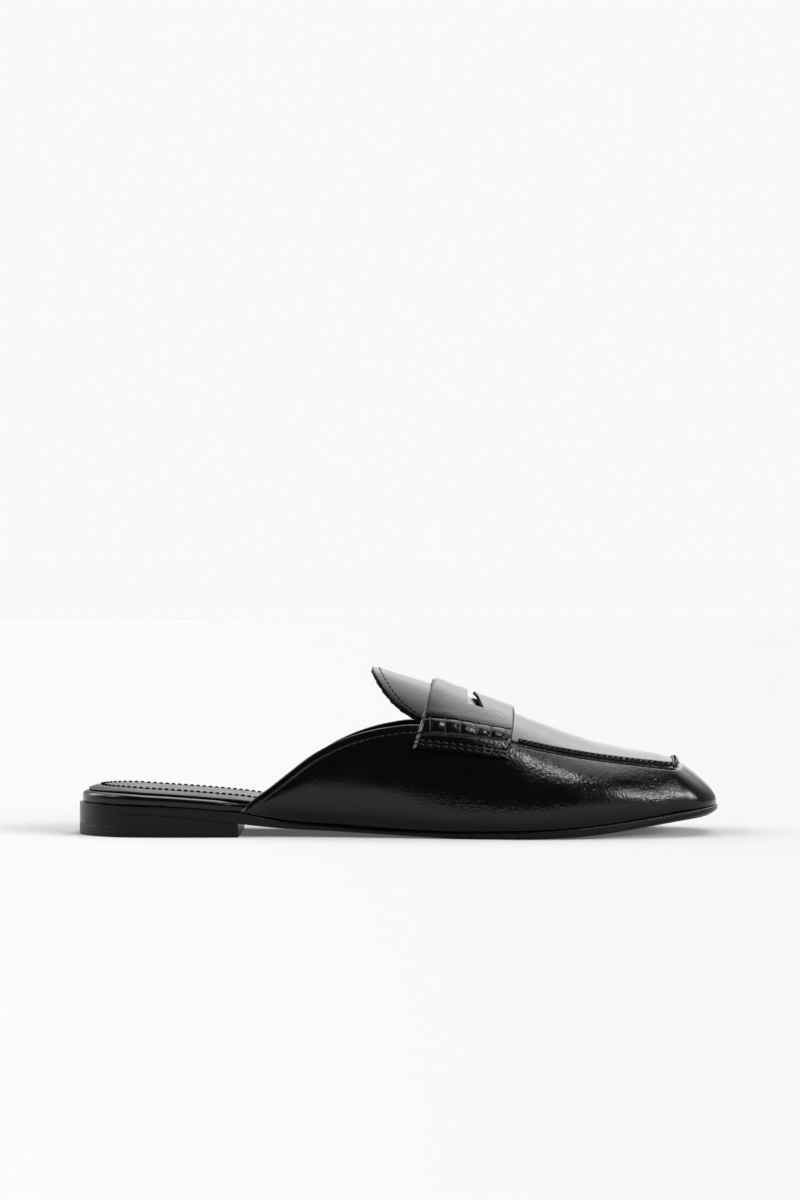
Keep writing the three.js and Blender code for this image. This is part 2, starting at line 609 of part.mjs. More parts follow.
// Section of the whole form at x, from the lateral feather line over the crest to the medial one
const SECTION_STEPS = 14;
function section(x) {
  const wallHalf = (side) => spread(SECTION_STEPS, (v) => sidePoint(side, { x }, v));
  const across = apronRow(sideStop(rimPlan, LATERAL, x, 0), sideStop(rimPlan, MEDIAL, x, 0));
  return [...wallHalf(LATERAL), ...across.slice(1, -1), ...wallHalf(MEDIAL).reverse()];
}

// Point of that section on one side at a share of the way down to the strap's lower end
function strapPoint(x, side, share, drop) {
  const points = section(x);
  const crest = SECTION_STEPS + APRON_STEPS / 2;
  const half = side === LATERAL ? points.slice(0, crest + 1).reverse() : points.slice(crest);
  const floor = crestHeight(x) - drop;
  let length = 0;
  const lengths = [0];
  for (let i = 1; i < half.length; i += 1) {
    const step = half[i].distanceTo(half[i - 1]);
    const down = half[i - 1].z - half[i].z;
    if (half[i].z < floor) {
      length += (step * (half[i - 1].z - floor)) / down;
      break;
    }
    length += step;
    lengths.push(length);
  }
  const target = share * length;
  let k = 0;
  while (k + 1 < lengths.length && lengths[k + 1] < target) k += 1;
  const step = half[k + 1].distanceTo(half[k]);
  return half[k].clone().lerp(half[k + 1], (target - lengths[k]) / step);
}

const STRAP_ROWS = 9;
const STRAP_STEPS = 13;
function saddleStrap() {
  const grid = spread(STRAP_ROWS, (t) => {
    const line = (side) => spread(STRAP_STEPS, (share) => {
      const low = share * share;
      const x = mix(mix(STRAP_BACK_TOP, STRAP_BACK_LOW, low), mix(STRAP_FRONT_TOP, STRAP_FRONT_LOW, low), t);
      return strapPoint(x, side, share, mix(STRAP_DROP_BACK, STRAP_DROP_FRONT, t));
    });
    return [...line(LATERAL).reverse(), ...line(MEDIAL).slice(1)];
  });
  const low = (c) => smooth((Math.abs(c - STRAP_STEPS) / STRAP_STEPS - 0.5) * 2);
  const lift = (c) => mix(STRAP_LIFT, GAP, low(c));
  const thickness = (c) => mix(STRAP_THICKNESS, STRAP_LOW_THICKNESS, low(c));
  const outer = offsetGrid(grid, (c) => lift(c) + thickness(c));
  const body = toManifold(sheetSolid(outer, offsetGrid(grid, lift)));
  return toGeometry(body.subtract(slotCutter()));
}

// Prism through the strap: straight at the back, with a point in the middle of its front edge
function slotCutter() {
  const middle = centre(rimPlan, SLOT_BACK);
  const end = SLOT_LENGTH / 2;
  const outline = new THREE.Shape([
    new THREE.Vector2(SLOT_BACK, middle - end),
    new THREE.Vector2(SLOT_BACK + SLOT_END_WIDTH, middle - end),
    new THREE.Vector2(SLOT_BACK + SLOT_MIDDLE_WIDTH, middle),
    new THREE.Vector2(SLOT_BACK + SLOT_END_WIDTH, middle + end),
    new THREE.Vector2(SLOT_BACK, middle + end),
  ]);
  const prism = new THREE.ExtrudeGeometry(outline, { depth: 2 * INSTEP_HEIGHT, bevelEnabled: false });
  prism.deleteAttribute('normal');
  prism.deleteAttribute('uv');
  return toManifold(mergeVertices(prism));
}

const leather = new THREE.MeshStandardMaterial({ color: 0x141416, roughness: 0.3, metalness: 0 });
const sockLeather = new THREE.MeshStandardMaterial({ color: 0x1c1c1e, roughness: 0.5, metalness: 0 });
const soleRubber = new THREE.MeshStandardMaterial({ color: 0x101011, roughness: 0.45, metalness: 0 });
const liftRubber = new THREE.MeshStandardMaterial({ color: 0x161616, roughness: 0.7, metalness: 0 });

const shoe = new THREE.Group();
function place(name, geometry, material) {
  const mesh = new THREE.Mesh(geometry, material);
  mesh.name = name;
  shoe.add(mesh);
}

place('outsole', outsole(), soleRubber);
place('heel_block', heelBlock(), soleRubber);
place('heel_top_piece', topPiece(), liftRubber);
place('footbed', footbed(), leather);
place('sock', sock(), sockLeather);
place('upper', upper(), leather);
place('tongue', tongue(), leather);
place('saddle_strap', saddleStrap(), leather);

// The origin is under the middle of the shoe's box, on the floor
const box = new THREE.Box3().setFromObject(shoe, true);
shoe.position.set(-(box.min.x + box.max.x) / 2, -(box.min.y + box.max.y) / 2, -box.min.z);
shoe.updateMatrixWorld(true);

export default shoe;
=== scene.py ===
import math

import bpy
from mathutils import Matrix, Vector


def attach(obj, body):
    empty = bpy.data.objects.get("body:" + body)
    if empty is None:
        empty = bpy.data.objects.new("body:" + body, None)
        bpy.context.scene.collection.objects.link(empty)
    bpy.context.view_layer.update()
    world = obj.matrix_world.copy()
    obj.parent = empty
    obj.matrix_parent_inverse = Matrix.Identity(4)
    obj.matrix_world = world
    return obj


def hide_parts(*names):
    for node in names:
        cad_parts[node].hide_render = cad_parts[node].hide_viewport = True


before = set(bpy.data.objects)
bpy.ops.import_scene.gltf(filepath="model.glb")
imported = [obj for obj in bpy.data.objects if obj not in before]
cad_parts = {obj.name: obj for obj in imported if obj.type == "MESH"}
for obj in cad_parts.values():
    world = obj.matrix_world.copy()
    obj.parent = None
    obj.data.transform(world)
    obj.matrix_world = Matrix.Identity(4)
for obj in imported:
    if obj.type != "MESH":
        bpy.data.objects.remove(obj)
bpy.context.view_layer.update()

# The studio: a white seamless floor, bright air behind and above the shoe and a dark room in
# front of it, which black leather mirrors. The camera stands level, 1.32 m off the outer side.
MM = 0.001
CAMERA_DISTANCE = 1320.4 * MM
CAMERA_HEIGHT = 96.9 * MM
CAMERA_ALONG = 0.35 * MM
LENS_PIXELS = 3168
FRAME_HEIGHT_PIXELS = 1200
SENSOR_MM = 36

camera_data = bpy.data.cameras.new("camera")
camera_data.sensor_width = SENSOR_MM
camera_data.lens = SENSOR_MM * LENS_PIXELS / FRAME_HEIGHT_PIXELS
camera_data.clip_start = 0.01
camera_data.clip_end = 100
camera = bpy.data.objects.new("camera", camera_data)
camera.location = (CAMERA_ALONG, -CAMERA_DISTANCE, CAMERA_HEIGHT)
camera.rotation_euler = (math.radians(90), 0, 0)
bpy.context.collection.objects.link(camera)
bpy.context.scene.camera = camera
bpy.context.scene.view_settings.view_transform = "Standard"


def linear(hex_colour):
    """sRGB hex to a linear colour with alpha."""
    channels = [int(hex_colour[i:i + 2], 16) / 255 for i in (1, 3, 5)]
    return [c / 12.92 if c <= 0.04045 else ((c + 0.055) / 1.055) ** 2.4 for c in channels] + [1]


def add_node(tree, kind, settings=None, inputs=None, links=None):
    """One node: settings on it, values on its inputs, and links from other nodes' outputs."""
    node = tree.nodes.new(kind)
    for key, value in (settings or {}).items():
        setattr(node, key, value)
    for key, value in (inputs or {}).items():
        node.inputs[key].default_value = value
    for key, output in (links or {}).items():
        tree.links.new(output, node.inputs[key])
    return node


def empty_material(name):
    """A material with no nodes yet."""
    material = bpy.data.materials.new(name)
    material.use_nodes = True
    material.node_tree.nodes.clear()
    return material


# seamless white paper, matt, so that the shoe shades it down to dark grey where it touches
paper = empty_material("seamless white paper")
tree = paper.node_tree
lit = add_node(tree, "ShaderNodeBsdfDiffuse", inputs={"Color": linear("#B2B0B1"), "Roughness": 0.9})
glow = add_node(tree, "ShaderNodeEmission", inputs={"Color": linear("#FBF9FA"), "Strength": 0.1})
both = add_node(tree, "ShaderNodeAddShader", links={0: lit.outputs[0], 1: glow.outputs[0]})
add_node(tree, "ShaderNodeOutputMaterial", links={"Surface": both.outputs[0]})

bpy.ops.object.select_all(action="DESELECT")
bpy.ops.mesh.primitive_circle_add(vertices=96, radius=14, fill_type="NGON", location=(0, 0, 0))
floor = bpy.context.object
floor.name = "floor"
floor.data.materials.append(paper)

# the air: plain white where the camera looks past the shoe. What the leather mirrors is a pale
# wall behind, a dark room in front, and soft lamps round about
world = bpy.data.worlds.new("studio")
bpy.context.scene.world = world
world.use_nodes = True
tree = world.node_tree
tree.nodes.clear()
place = add_node(tree, "ShaderNodeTexCoord")
parts = add_node(tree, "ShaderNodeSeparateXYZ", links={0: place.outputs["Generated"]})
wall_light = add_node(tree, "ShaderNodeMapRange", {"interpolation_type": "SMOOTHSTEP"},
                      {"From Min": -0.25, "From Max": 0.35, "To Min": 0.06, "To Max": 0.38},
                      {"Value": parts.outputs["Y"]})


def lamp(total, turn, height, inner, outer, strength):
    """Adds a soft round lamp to the air: turn degrees from the camera towards the toe, so many
    degrees high, full inside one angle of its middle and gone outside another."""
    turn, height = math.radians(turn), math.radians(height)
    axis = (math.sin(turn) * math.cos(height), -math.cos(turn) * math.cos(height), math.sin(height))
    near = add_node(tree, "ShaderNodeVectorMath", {"operation": "DOT_PRODUCT"}, {1: axis},
                    {0: place.outputs["Generated"]})
    angle = add_node(tree, "ShaderNodeMath", {"operation": "ARCCOSINE"}, links={0: near.outputs["Value"]})
    shine = add_node(tree, "ShaderNodeMapRange", {"interpolation_type": "SMOOTHSTEP"},
                     {"From Min": math.radians(outer), "From Max": math.radians(inner), "To Min": 0,
                      "To Max": strength}, {"Value": angle.outputs[0]})
    added = add_node(tree, "ShaderNodeMath", {"operation": "ADD"}, links={0: total, 1: shine.outputs[0]})
    return added.outputs[0]


# turn and height of each lamp, its inner and outer angle, all in degrees, and its strength
LAMPS = (
    (158, 58, 12, 48, 5),       # behind the shoe, high and wide
    (176, 15, 4, 18, 1),        # behind it, low
    (62, 69, 3, 10, 2.2),       # beyond the toe, almost overhead
    (50, 20, 3, 8, 24),         # three strong low lamps in front of the toe
    (62, 20, 3, 9, 14),
    (75, 19, 4, 10, 22),
    (47, 31, 3, 8, 9),          # two weaker ones above them
    (57, 37, 3, 9, 3),
    (60, 10, 8, 34, 1.2),       # a faint wide glow round them
    (34, 60, 1, 7, 34),         # a small strong lamp in front, high, and its halo
    (24, 57, 3, 14, 2),
    (-75, 36, 5, 22, 5),        # the heel side
    (-118, 30, 8, 22, 7),
    (-80, 48, 1, 7, 28),
    (-120, 10, 10, 40, 0.9),
    (178, 6, 6, 16, 0.35),      # a faint light just over the floor behind
)
total = wall_light.outputs[0]
for turn, height, inner, outer, strength in LAMPS:
    total = lamp(total, turn, height, inner, outer, strength)
mirrored = add_node(tree, "ShaderNodeBackground", inputs={"Color": linear("#FFFFFF")},
                    links={"Strength": total})
seen = add_node(tree, "ShaderNodeBackground", inputs={"Color": linear("#F9F9F9"), "Strength": 1})
ray = add_node(tree, "ShaderNodeLightPath")
sky = add_node(tree, "ShaderNodeMixShader", links={
    0: ray.outputs["Is Camera Ray"], 1: mirrored.outputs[0], 2: seen.outputs[0]})
add_node(tree, "ShaderNodeOutputWorld", links={"Surface": sky.outputs[0]})

# The outsole: one thin sheet of black rubber from heel to toe with its edge bevelled and inked,
# glued under the lasted upper. It lifts at the arch and springs up at the toe.
LENGTH = 265 * MM
BALL_WIDTH = 81 * MM
HEEL_LIFT = 10.2 * MM
TOE_SPRING = 8.6 * MM
HEEL_LENGTH = 66.5 * MM
SOLE_THICKNESS = 3.3 * MM
SOLE_BEVEL = 0.9 * MM
HEEL_ROUND = 27 * MM
TOE_ROUND = 21 * MM
TOE_SQUARENESS = 3
TOE_SKEW = 1.2 * MM
GAP = 0.3 * MM
LATERAL, MEDIAL = -1, 1

# station is a share of LENGTH, half widths are shares of BALL_WIDTH
OUTLINE = {
    "station": (0.000, 0.102, 0.190, 0.268, 0.358, 0.449, 0.540,
                0.620, 0.690, 0.750, 0.811, 0.870, 0.930, 1.000),
    "lateral": (0.330, 0.345, 0.349, 0.346, 0.353, 0.383, 0.436,
                0.481, 0.506, 0.494, 0.454, 0.393, 0.319, 0.253),
    "medial": (0.330, 0.340, 0.333, 0.309, 0.291, 0.309, 0.358,
               0.426, 0.479, 0.509, 0.510, 0.484, 0.432, 0.377),
}
# heel and toe are shares of HEEL_LIFT and TOE_SPRING, thickness and edge of SOLE_THICKNESS
SOLE = {
    "station": (0.000, 0.147, 0.253, 0.325, 0.396, 0.468, 0.540,
                0.600, 0.690, 0.755, 0.804, 0.879, 0.943, 1.000),
    "heel": (1.00, 0.86, 0.54, 0.34, 0.25, 0.15, 0.06, 0, 0, 0, 0, 0, 0, 0),
    "toe": (0, 0, 0, 0, 0, 0, 0, 0, 0, 0.07, 0.19, 0.50, 0.79, 1.00),
    "thickness": (0.91, 1.00, 1.30, 0.92, 0.72, 0.64, 0.72, 0.88, 1.00, 1.07, 1.14, 1.15, 1.15, 1.16),
    "edge": (0.24, 0.24, 0.10, -0.30, -0.36, -0.36, -0.20, 0.00, 0.10, 0.12, 0.12, 0.12, 0.12, 0.12),
}


def column(table, name, x):
    """Value of one column at x along the shoe, by a monotone cubic through the rows."""
    stations, values = table["station"], table[name]
    s = x / LENGTH
    if s <= stations[0]:
        return values[0]
    if s >= stations[-1]:
        return values[-1]
    i = 0
    while s > stations[i + 1]:
        i += 1
    last = len(stations) - 1

    def slope(k):
        return (values[k + 1] - values[k]) / (stations[k + 1] - stations[k])

    def tangent(k):
        if k == 0:
            return slope(0)
        if k == last:
            return slope(last - 1)
        before, after = slope(k - 1), slope(k)
        return 0 if before * after <= 0 else 2 * before * after / (before + after)

    run = stations[i + 1] - stations[i]
    t = (s - stations[i]) / run
    rise = values[i + 1] - values[i]
    a, b = tangent(i) * run, tangent(i + 1) * run
    return values[i] + t * (a + t * (3 * rise - 2 * a - b + t * (a + b - 2 * rise)))


def smooth(t):
    """0 up to t = 0 and 1 from t = 1 on, with a soft rise between."""
    u = min(1, max(0, t))
    return u * u * (3 - 2 * u)


def mix(a, b, t):
    return a + (b - a) * t


# stations run forward from the back of the heel; the frame's origin is under the middle of the box
ORIGIN_STATION = 132.146 * MM
ORIGIN_SIDE = 0.433 * MM


def in_frame(x, y, z):
    """A point of the shoe's own stations in the frame."""
    return Vector((x - ORIGIN_STATION, y - ORIGIN_SIDE, z))


def sole_bottom(x):
    return HEEL_LIFT * column(SOLE, "heel", x) + TOE_SPRING * column(SOLE, "toe", x)


def sole_top(x):
    return sole_bottom(x) + SOLE_THICKNESS * column(SOLE, "thickness", x)


def sole_edge(x):
    return SOLE_THICKNESS * column(SOLE, "edge", x)


FEATHER = {"table": OUTLINE, "back": 0, "front": LENGTH - 0.12 * SOLE_THICKNESS,
           "round": TOE_ROUND, "squareness": TOE_SQUARENESS}


def centre(plan, x):
    return BALL_WIDTH * (column(plan["table"], "medial", x) - column(plan["table"], "lateral", x)) / 2


def half_width(plan, x):
    return BALL_WIDTH * (column(plan["table"], "medial", x) + column(plan["table"], "lateral", x)) / 2


def back_stop(plan, side, share, out):
    """Point of the round back of an outline, share 0 behind and 1 at the side."""
    angle = share * math.pi / 2
    x = plan["back"] - out + (HEEL_ROUND + out) * (1 - math.cos(angle))
    return x, centre(plan, x) + side * (half_width(plan, x) + out) * math.sin(angle)


def side_stop(plan, side, x, out):
    half = BALL_WIDTH * column(plan["table"], "lateral" if side == LATERAL else "medial", x)
    return x, side * (half + out)


def front_stop(plan, side, share, out):
    """Point round the front of an outline, share 0 at the side and 1 at the tip."""
    angle = share * math.pi / 2
    power = 2 / plan["squareness"]
    along = math.sin(angle) ** power
    across = max(0, math.cos(angle)) ** power
    x = plan["front"] - plan["round"] + (plan["round"] + out) * along
    x += TOE_SKEW * side * across * math.sin(angle)
    return x, centre(plan, x) + side * (half_width(plan, x) + out) * across


BACK_SHARE, FRONT_SHARE = 0.12, 0.88


def outline_point(side, share, out):
    """Half the outline as one run, share 0 at the back of the heel and 1 at the tip of the toe.
    The round back ends at BACK_SHARE and the round front starts at FRONT_SHARE."""
    if share < BACK_SHARE:
        return back_stop(FEATHER, side, share / BACK_SHARE, out(0))
    if share > FRONT_SHARE:
        return front_stop(FEATHER, side, (share - FRONT_SHARE) / (1 - FRONT_SHARE), out(LENGTH))
    run = (share - BACK_SHARE) / (FRONT_SHARE - BACK_SHARE)
    x = mix(HEEL_ROUND, FEATHER["front"] - TOE_ROUND, run)
    return side_stop(FEATHER, side, x, out(x))


def weld(near, flat=0):
    """Welds the active piece's points that are so near and turns all faces outward; where a
    length is given for flat, faces flatter than that are dropped too."""
    bpy.ops.object.mode_set(mode="EDIT")
    bpy.ops.mesh.select_all(action="SELECT")
    bpy.ops.mesh.remove_doubles(threshold=near)
    if flat:
        bpy.ops.mesh.dissolve_degenerate(threshold=flat)
    bpy.ops.mesh.normals_make_consistent(inside=False)
    bpy.ops.object.mode_set(mode="OBJECT")


def plate(name, count, levels):
    """A plate with a closed outline: a circle is added, then extruded ring by ring. levels lists
    the rings from under the spine, round the edge and back: share out from the spine, how far
    out the outline is, and the height."""
    bpy.ops.object.select_all(action="DESELECT")
    bpy.ops.mesh.primitive_circle_add(vertices=2 * count, radius=1, fill_type="NOTHING")
    piece = bpy.context.object
    piece.name = name
    stop = piece.data.attributes.new("stop", "INT", "POINT")
    last = 2 * count - 1
    for i in range(2 * count):
        stop.data[i].value = i
    for number, (share, out, height) in enumerate(levels):
        if number:
            bpy.ops.object.mode_set(mode="EDIT")
            bpy.ops.mesh.extrude_region_move()
            bpy.ops.object.mode_set(mode="OBJECT")
        stops = piece.data.attributes["stop"].data
        for vertex in piece.data.vertices:
            if not (number == 0 or vertex.select):
                continue
            i = stops[vertex.index].value
            side, k = (LATERAL, i) if i < count else (MEDIAL, last - i)
            x, y = outline_point(side, (k + 0.5) / count, out)
            spine_x = min(LENGTH - TOE_ROUND, max(HEEL_ROUND, x))
            x, y = mix(spine_x, x, share), mix(centre(FEATHER, spine_x), y, share)
            vertex.co = in_frame(x, y, height(x))
    weld(0.02 * MM, 0.001 * MM)
    bpy.ops.object.shade_smooth_by_angle(angle=math.radians(38))
    return piece


def past_heel(x):
    """0 over the heel block and 1 from the waist on."""
    return smooth((x - 62 * MM) / (20 * MM))


def sole_bevel(x):
    """The edge is flat down to the heel block at the back and rounder from the waist on."""
    return mix(0.08 * MM, SOLE_BEVEL, past_heel(x))


def sole_under(x):
    """Height to which the lower corner is cut back: nothing at the heel, more towards the toe."""
    towards_toe = smooth((x - 205 * MM) / (50 * MM))
    return mix(0.05 * MM, mix(0.5 * MM, 1.9 * MM, towards_toe), past_heel(x))


def sole_tucked(x):
    return sole_edge(x) - sole_bevel(x)


def sole_undercut(x):
    return sole_edge(x) - 1.5 * sole_under(x) - 0.05 * MM


outsole = plate("outsole_sheet", 150, [
    (0, sole_undercut, sole_bottom),
    (0.5, sole_undercut, sole_bottom),
    (0.97, sole_undercut, sole_bottom),
    (1, sole_undercut, sole_bottom),
    (1, lambda x: sole_edge(x) - 0.25 * sole_under(x), lambda x: sole_bottom(x) + 0.7 * sole_under(x)),
    (1, sole_edge, lambda x: sole_bottom(x) + sole_under(x) + 0.05 * MM),
    (1, sole_edge, lambda x: sole_bottom(x) + sole_under(x) + 0.25 * MM),
    (1, sole_edge, lambda x: sole_top(x) - 0.8 * sole_bevel(x) - 0.2 * MM),
    (1, sole_edge, lambda x: sole_top(x) - 0.8 * sole_bevel(x)),
    (1, lambda x: sole_edge(x) - 0.12 * sole_bevel(x), lambda x: sole_top(x) - 0.55 * sole_bevel(x)),
    (1, sole_tucked, sole_top),
    (0.9, sole_tucked, sole_top),
    (0, sole_tucked, sole_top),
])

# rubber with its edge sanded and inked: near black, satin, with faint rubbing marks
sole_rubber = empty_material("inked sole rubber")
tree = sole_rubber.node_tree
place = add_node(tree, "ShaderNodeTexCoord")
rub = add_node(tree, "ShaderNodeTexNoise", inputs={"Scale": 1 / (3 * MM), "Detail": 3},
               links={"Vector": place.outputs["Object"]})
rough = add_node(tree, "ShaderNodeMapRange", inputs={"To Min": 0.2, "To Max": 0.34},
                 links={"Value": rub.outputs["Fac"]})
grit = add_node(tree, "ShaderNodeTexNoise", inputs={"Scale": 1 / (0.4 * MM), "Detail": 2},
                links={"Vector": place.outputs["Object"]})
bump = add_node(tree, "ShaderNodeBump", inputs={"Strength": 0.12, "Distance": 0.1 * MM},
                links={"Height": grit.outputs["Fac"]})
shade = add_node(tree, "ShaderNodeBsdfPrincipled",
                 inputs={"Base Color": linear("#040404"), "IOR": 1.29},
                 links={"Roughness": rough.outputs[0], "Normal": bump.outputs[0]})
add_node(tree, "ShaderNodeOutputMaterial", links={"Surface": shade.outputs[0]})
outsole.data.materials.append(sole_rubber)
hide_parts("outsole")
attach(outsole, "root")

# The heel: a low block of black rubber under the sole, flat at its breast, with a separate
# top piece of harder rubber under it, nailed and glued. All three were sanded flush and inked.
TOP_PIECE_THICKNESS = 4.4 * MM


HEEL_POINTS, BACK_POINTS, BREAST_POINTS = 160, 44, 12


def heel_piece(name, out, bottom, top, bevel):
    """A circle is added, laid on the heel's outline, filled, extruded up and bevelled. Each half
    has points round the back, along the side and across the breast to its middle."""
    bpy.ops.object.select_all(action="DESELECT")
    bpy.ops.mesh.primitive_circle_add(vertices=HEEL_POINTS, radius=1, fill_type="NGON")
    piece = bpy.context.object
    piece.name = name
    half = HEEL_POINTS // 2
    for i, vertex in enumerate(piece.data.vertices):
        side, k = (LATERAL, i) if i < half else (MEDIAL, HEEL_POINTS - 1 - i)
        if k < BACK_POINTS:
            x, y = back_stop(FEATHER, side, (k + 0.5) / BACK_POINTS, sole_edge(0) + out)
        else:
            run = min(1, (k - BACK_POINTS + 1) / (half - BACK_POINTS - BREAST_POINTS))
            x = mix(HEEL_ROUND, HEEL_LENGTH, run)
            x, y = side_stop(FEATHER, side, x, sole_edge(x) + out)
            inward = max(0, (k - (half - BREAST_POINTS)) / BREAST_POINTS)
            y = mix(y, centre(FEATHER, x), inward)
        vertex.co = in_frame(x, y, bottom)
    bpy.ops.object.mode_set(mode="EDIT")
    bpy.ops.mesh.select_all(action="SELECT")
    for share, more in ((0, 0.4 * MM), (1, -0.4 * MM), (1, 0)):
        bpy.ops.mesh.extrude_region_move()
        bpy.ops.object.mode_set(mode="OBJECT")
        for vertex in piece.data.vertices:
            if vertex.select:
                vertex.co.z = mix(bottom, top(vertex.co.x + ORIGIN_STATION), share) + more
        bpy.ops.object.mode_set(mode="EDIT")
    weld(0.02 * MM)
    rounding = piece.modifiers.new("rounding", "BEVEL")
    rounding.width = bevel
    rounding.segments = 3
    rounding.limit_method = "ANGLE"
    rounding.angle_limit = math.radians(50)
    bpy.ops.object.modifier_apply(modifier=rounding.name)
    bpy.ops.object.shade_smooth_by_angle(angle=math.radians(40))
    return piece


heel_block = heel_piece("heel_block_rubber", -0.02 * MM, TOP_PIECE_THICKNESS + 0.04 * MM,
                        lambda x: sole_bottom(x) - 0.03 * MM, 0.08 * MM)
heel_block.data.materials.append(sole_rubber)
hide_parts("heel_block")
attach(heel_block, "root")


def bumped(name, inputs, size, detail, strength, depth):
    """One Principled shader with a fine noise of a real size in its bump."""
    material = empty_material(name)
    tree = material.node_tree
    place = add_node(tree, "ShaderNodeTexCoord")
    noise = add_node(tree, "ShaderNodeTexNoise", inputs={"Scale": 1 / size, "Detail": detail},
                     links={"Vector": place.outputs["Object"]})
    bump = add_node(tree, "ShaderNodeBump", inputs={"Strength": strength, "Distance": depth},
                    links={"Height": noise.outputs["Fac"]})
    shade = add_node(tree, "ShaderNodeBsdfPrincipled", inputs=inputs, links={"Normal": bump.outputs[0]})
    add_node(tree, "ShaderNodeOutputMaterial", links={"Surface": shade.outputs[0]})
    return material


# moulded rubber, harder and more matt than the inked edge, with a fine pebble from the mould
top_piece_rubber = bumped("top piece rubber",
                          {"Base Color": linear("#080808"), "Roughness": 0.42, "IOR": 1.31},
                          0.35 * MM, 3, 0.25, 0.1 * MM)
top_piece = heel_piece("heel_top_piece_rubber", 0.04 * MM, 0,
                       lambda x: TOP_PIECE_THICKNESS, 0.15 * MM)
top_piece.data.materials.append(top_piece_rubber)
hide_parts("heel_top_piece")
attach(top_piece, "root")

# The footbed: a thin board wrapped in the upper's leather, its rounded edge showing as a rand
# round the heel between sole and sock. Inside the quarters it draws in to clear the wall.
WALL = 1.8 * MM
FEATHER_INSET = 0.4 * MM
QUARTER_START = 68 * MM
FOOTBED_INSET = 0.45 * MM
FOOTBED_ROUND = 1.2 * MM
FOOTBED_THICKNESS = 3.6 * MM

# top of the footbed above the sole, as a share of FOOTBED_THICKNESS
FOOTBED = {
    "station": (0.000, 0.060, 0.120, 0.190, 0.253, 0.280, 0.380, 0.480, 0.600, 0.700, 1.000),
    "thickness": (1.38, 1.42, 1.28, 1.20, 1.24, 1.30, 1.60, 1.50, 1.00, 0.85, 0.85),
}


def feather_height(x):
    return sole_top(x) + GAP


def footbed_top(x):
    return feather_height(x) + FOOTBED_THICKNESS * column(FOOTBED, "thickness", x)


def inside_wall(x, shown, hidden):
    return -mix(shown, hidden, smooth((x - (QUARTER_START - 10 * MM)) / (8 * MM)))


def footbed_out(more):
    hidden = WALL + FEATHER_INSET + GAP
    return lambda x: inside_wall(x, FOOTBED_INSET + more, hidden + more)


def footbed_height(share):
    return lambda x: mix(feather_height(x), footbed_top(x), share)


footbed = plate("footbed_board", 150, [
    (0, footbed_out(FOOTBED_ROUND), feather_height),
    (1, footbed_out(FOOTBED_ROUND), feather_height),
    (1, footbed_out(0.35 * MM), footbed_height(0.01)),
    (1, footbed_out(0.16 * MM), footbed_height(0.05)),
    (1, footbed_out(0.10 * MM), footbed_height(0.14)),
    (1, footbed_out(0), footbed_height(0.38)),
    (1, footbed_out(0), footbed_height(0.56)),
    (1, footbed_out(0.12 * MM), footbed_height(0.67)),
    (1, footbed_out(0.34 * MM), footbed_height(0.76)),
    (1, footbed_out(0.75 * MM), footbed_height(0.82)),
    (1, footbed_out(1.4 * MM), footbed_height(0.88)),
    (1, footbed_out(2.6 * MM), footbed_height(0.98)),
    (1, footbed_out(3.4 * MM), footbed_top),
    (0, footbed_out(3.4 * MM), footbed_top),
])


def leather(name, hex_colour, low, high, grain, depth, pore):
    """Black leather: two sizes of grain in the bump, in patches and stronger over the vamp, and
    roughness between low and high in patches."""
    material = empty_material(name)
    tree = material.node_tree
    place = add_node(tree, "ShaderNodeTexCoord")
    patches = add_node(tree, "ShaderNodeTexNoise", inputs={"Scale": 1 / (9 * MM), "Detail": 2},
                       links={"Vector": place.outputs["Object"]})
    rough = add_node(tree, "ShaderNodeMapRange", inputs={"From Min": 0.3, "From Max": 0.7,
                     "To Min": low, "To Max": high}, links={"Value": patches.outputs["Fac"]})
    cells = add_node(tree, "ShaderNodeTexVoronoi", {"feature": "SMOOTH_F1"}, {"Scale": 1 / grain},
                     {"Vector": place.outputs["Object"]})
    waves = add_node(tree, "ShaderNodeTexNoise", inputs={"Scale": 1 / (2.2 * grain), "Detail": 3},
                     links={"Vector": place.outputs["Object"]})
    folds = add_node(tree, "ShaderNodeMath", {"operation": "MULTIPLY_ADD"}, {1: pore},
                     {0: cells.outputs["Distance"], 2: waves.outputs["Fac"]})
    reach = add_node(tree, "ShaderNodeTexNoise", inputs={"Scale": 1 / (22 * MM), "Detail": 1},
                     links={"Vector": place.outputs["Object"]})
    strength = add_node(tree, "ShaderNodeMapRange", inputs={"From Min": 0.35, "From Max": 0.65,
                        "To Min": 0.35, "To Max": 1}, links={"Value": reach.outputs["Fac"]})
    axes = add_node(tree, "ShaderNodeSeparateXYZ", links={"Vector": place.outputs["Object"]})
    forward = add_node(tree, "ShaderNodeMapRange", inputs={"From Min": -10 * MM, "From Max": 32 * MM,
                       "To Min": 0.22, "To Max": 1}, links={"Value": axes.outputs["X"]})
    total_strength = add_node(tree, "ShaderNodeMath", {"operation": "MULTIPLY"},
                              links={0: strength.outputs[0], 1: forward.outputs[0]})
    bump = add_node(tree, "ShaderNodeBump", inputs={"Distance": depth},
                    links={"Height": folds.outputs[0], "Strength": total_strength.outputs[0]})
    shade = add_node(tree, "ShaderNodeBsdfPrincipled",
                     inputs={"Base Color": linear(hex_colour), "IOR": 1.34},
                     links={"Roughness": rough.outputs[0], "Normal": bump.outputs[0]})
    add_node(tree, "ShaderNodeOutputMaterial", links={"Surface": shade.outputs[0]})
    return material


# smooth calf with a polished finish: black, a fine tight grain that only shows in highlights
polished_calf = leather("polished calf", "#040405", 0.13, 0.2, 0.75 * MM, 0.17 * MM, 0.5)
footbed.data.materials.append(polished_calf)
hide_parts("footbed")
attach(footbed, "root")

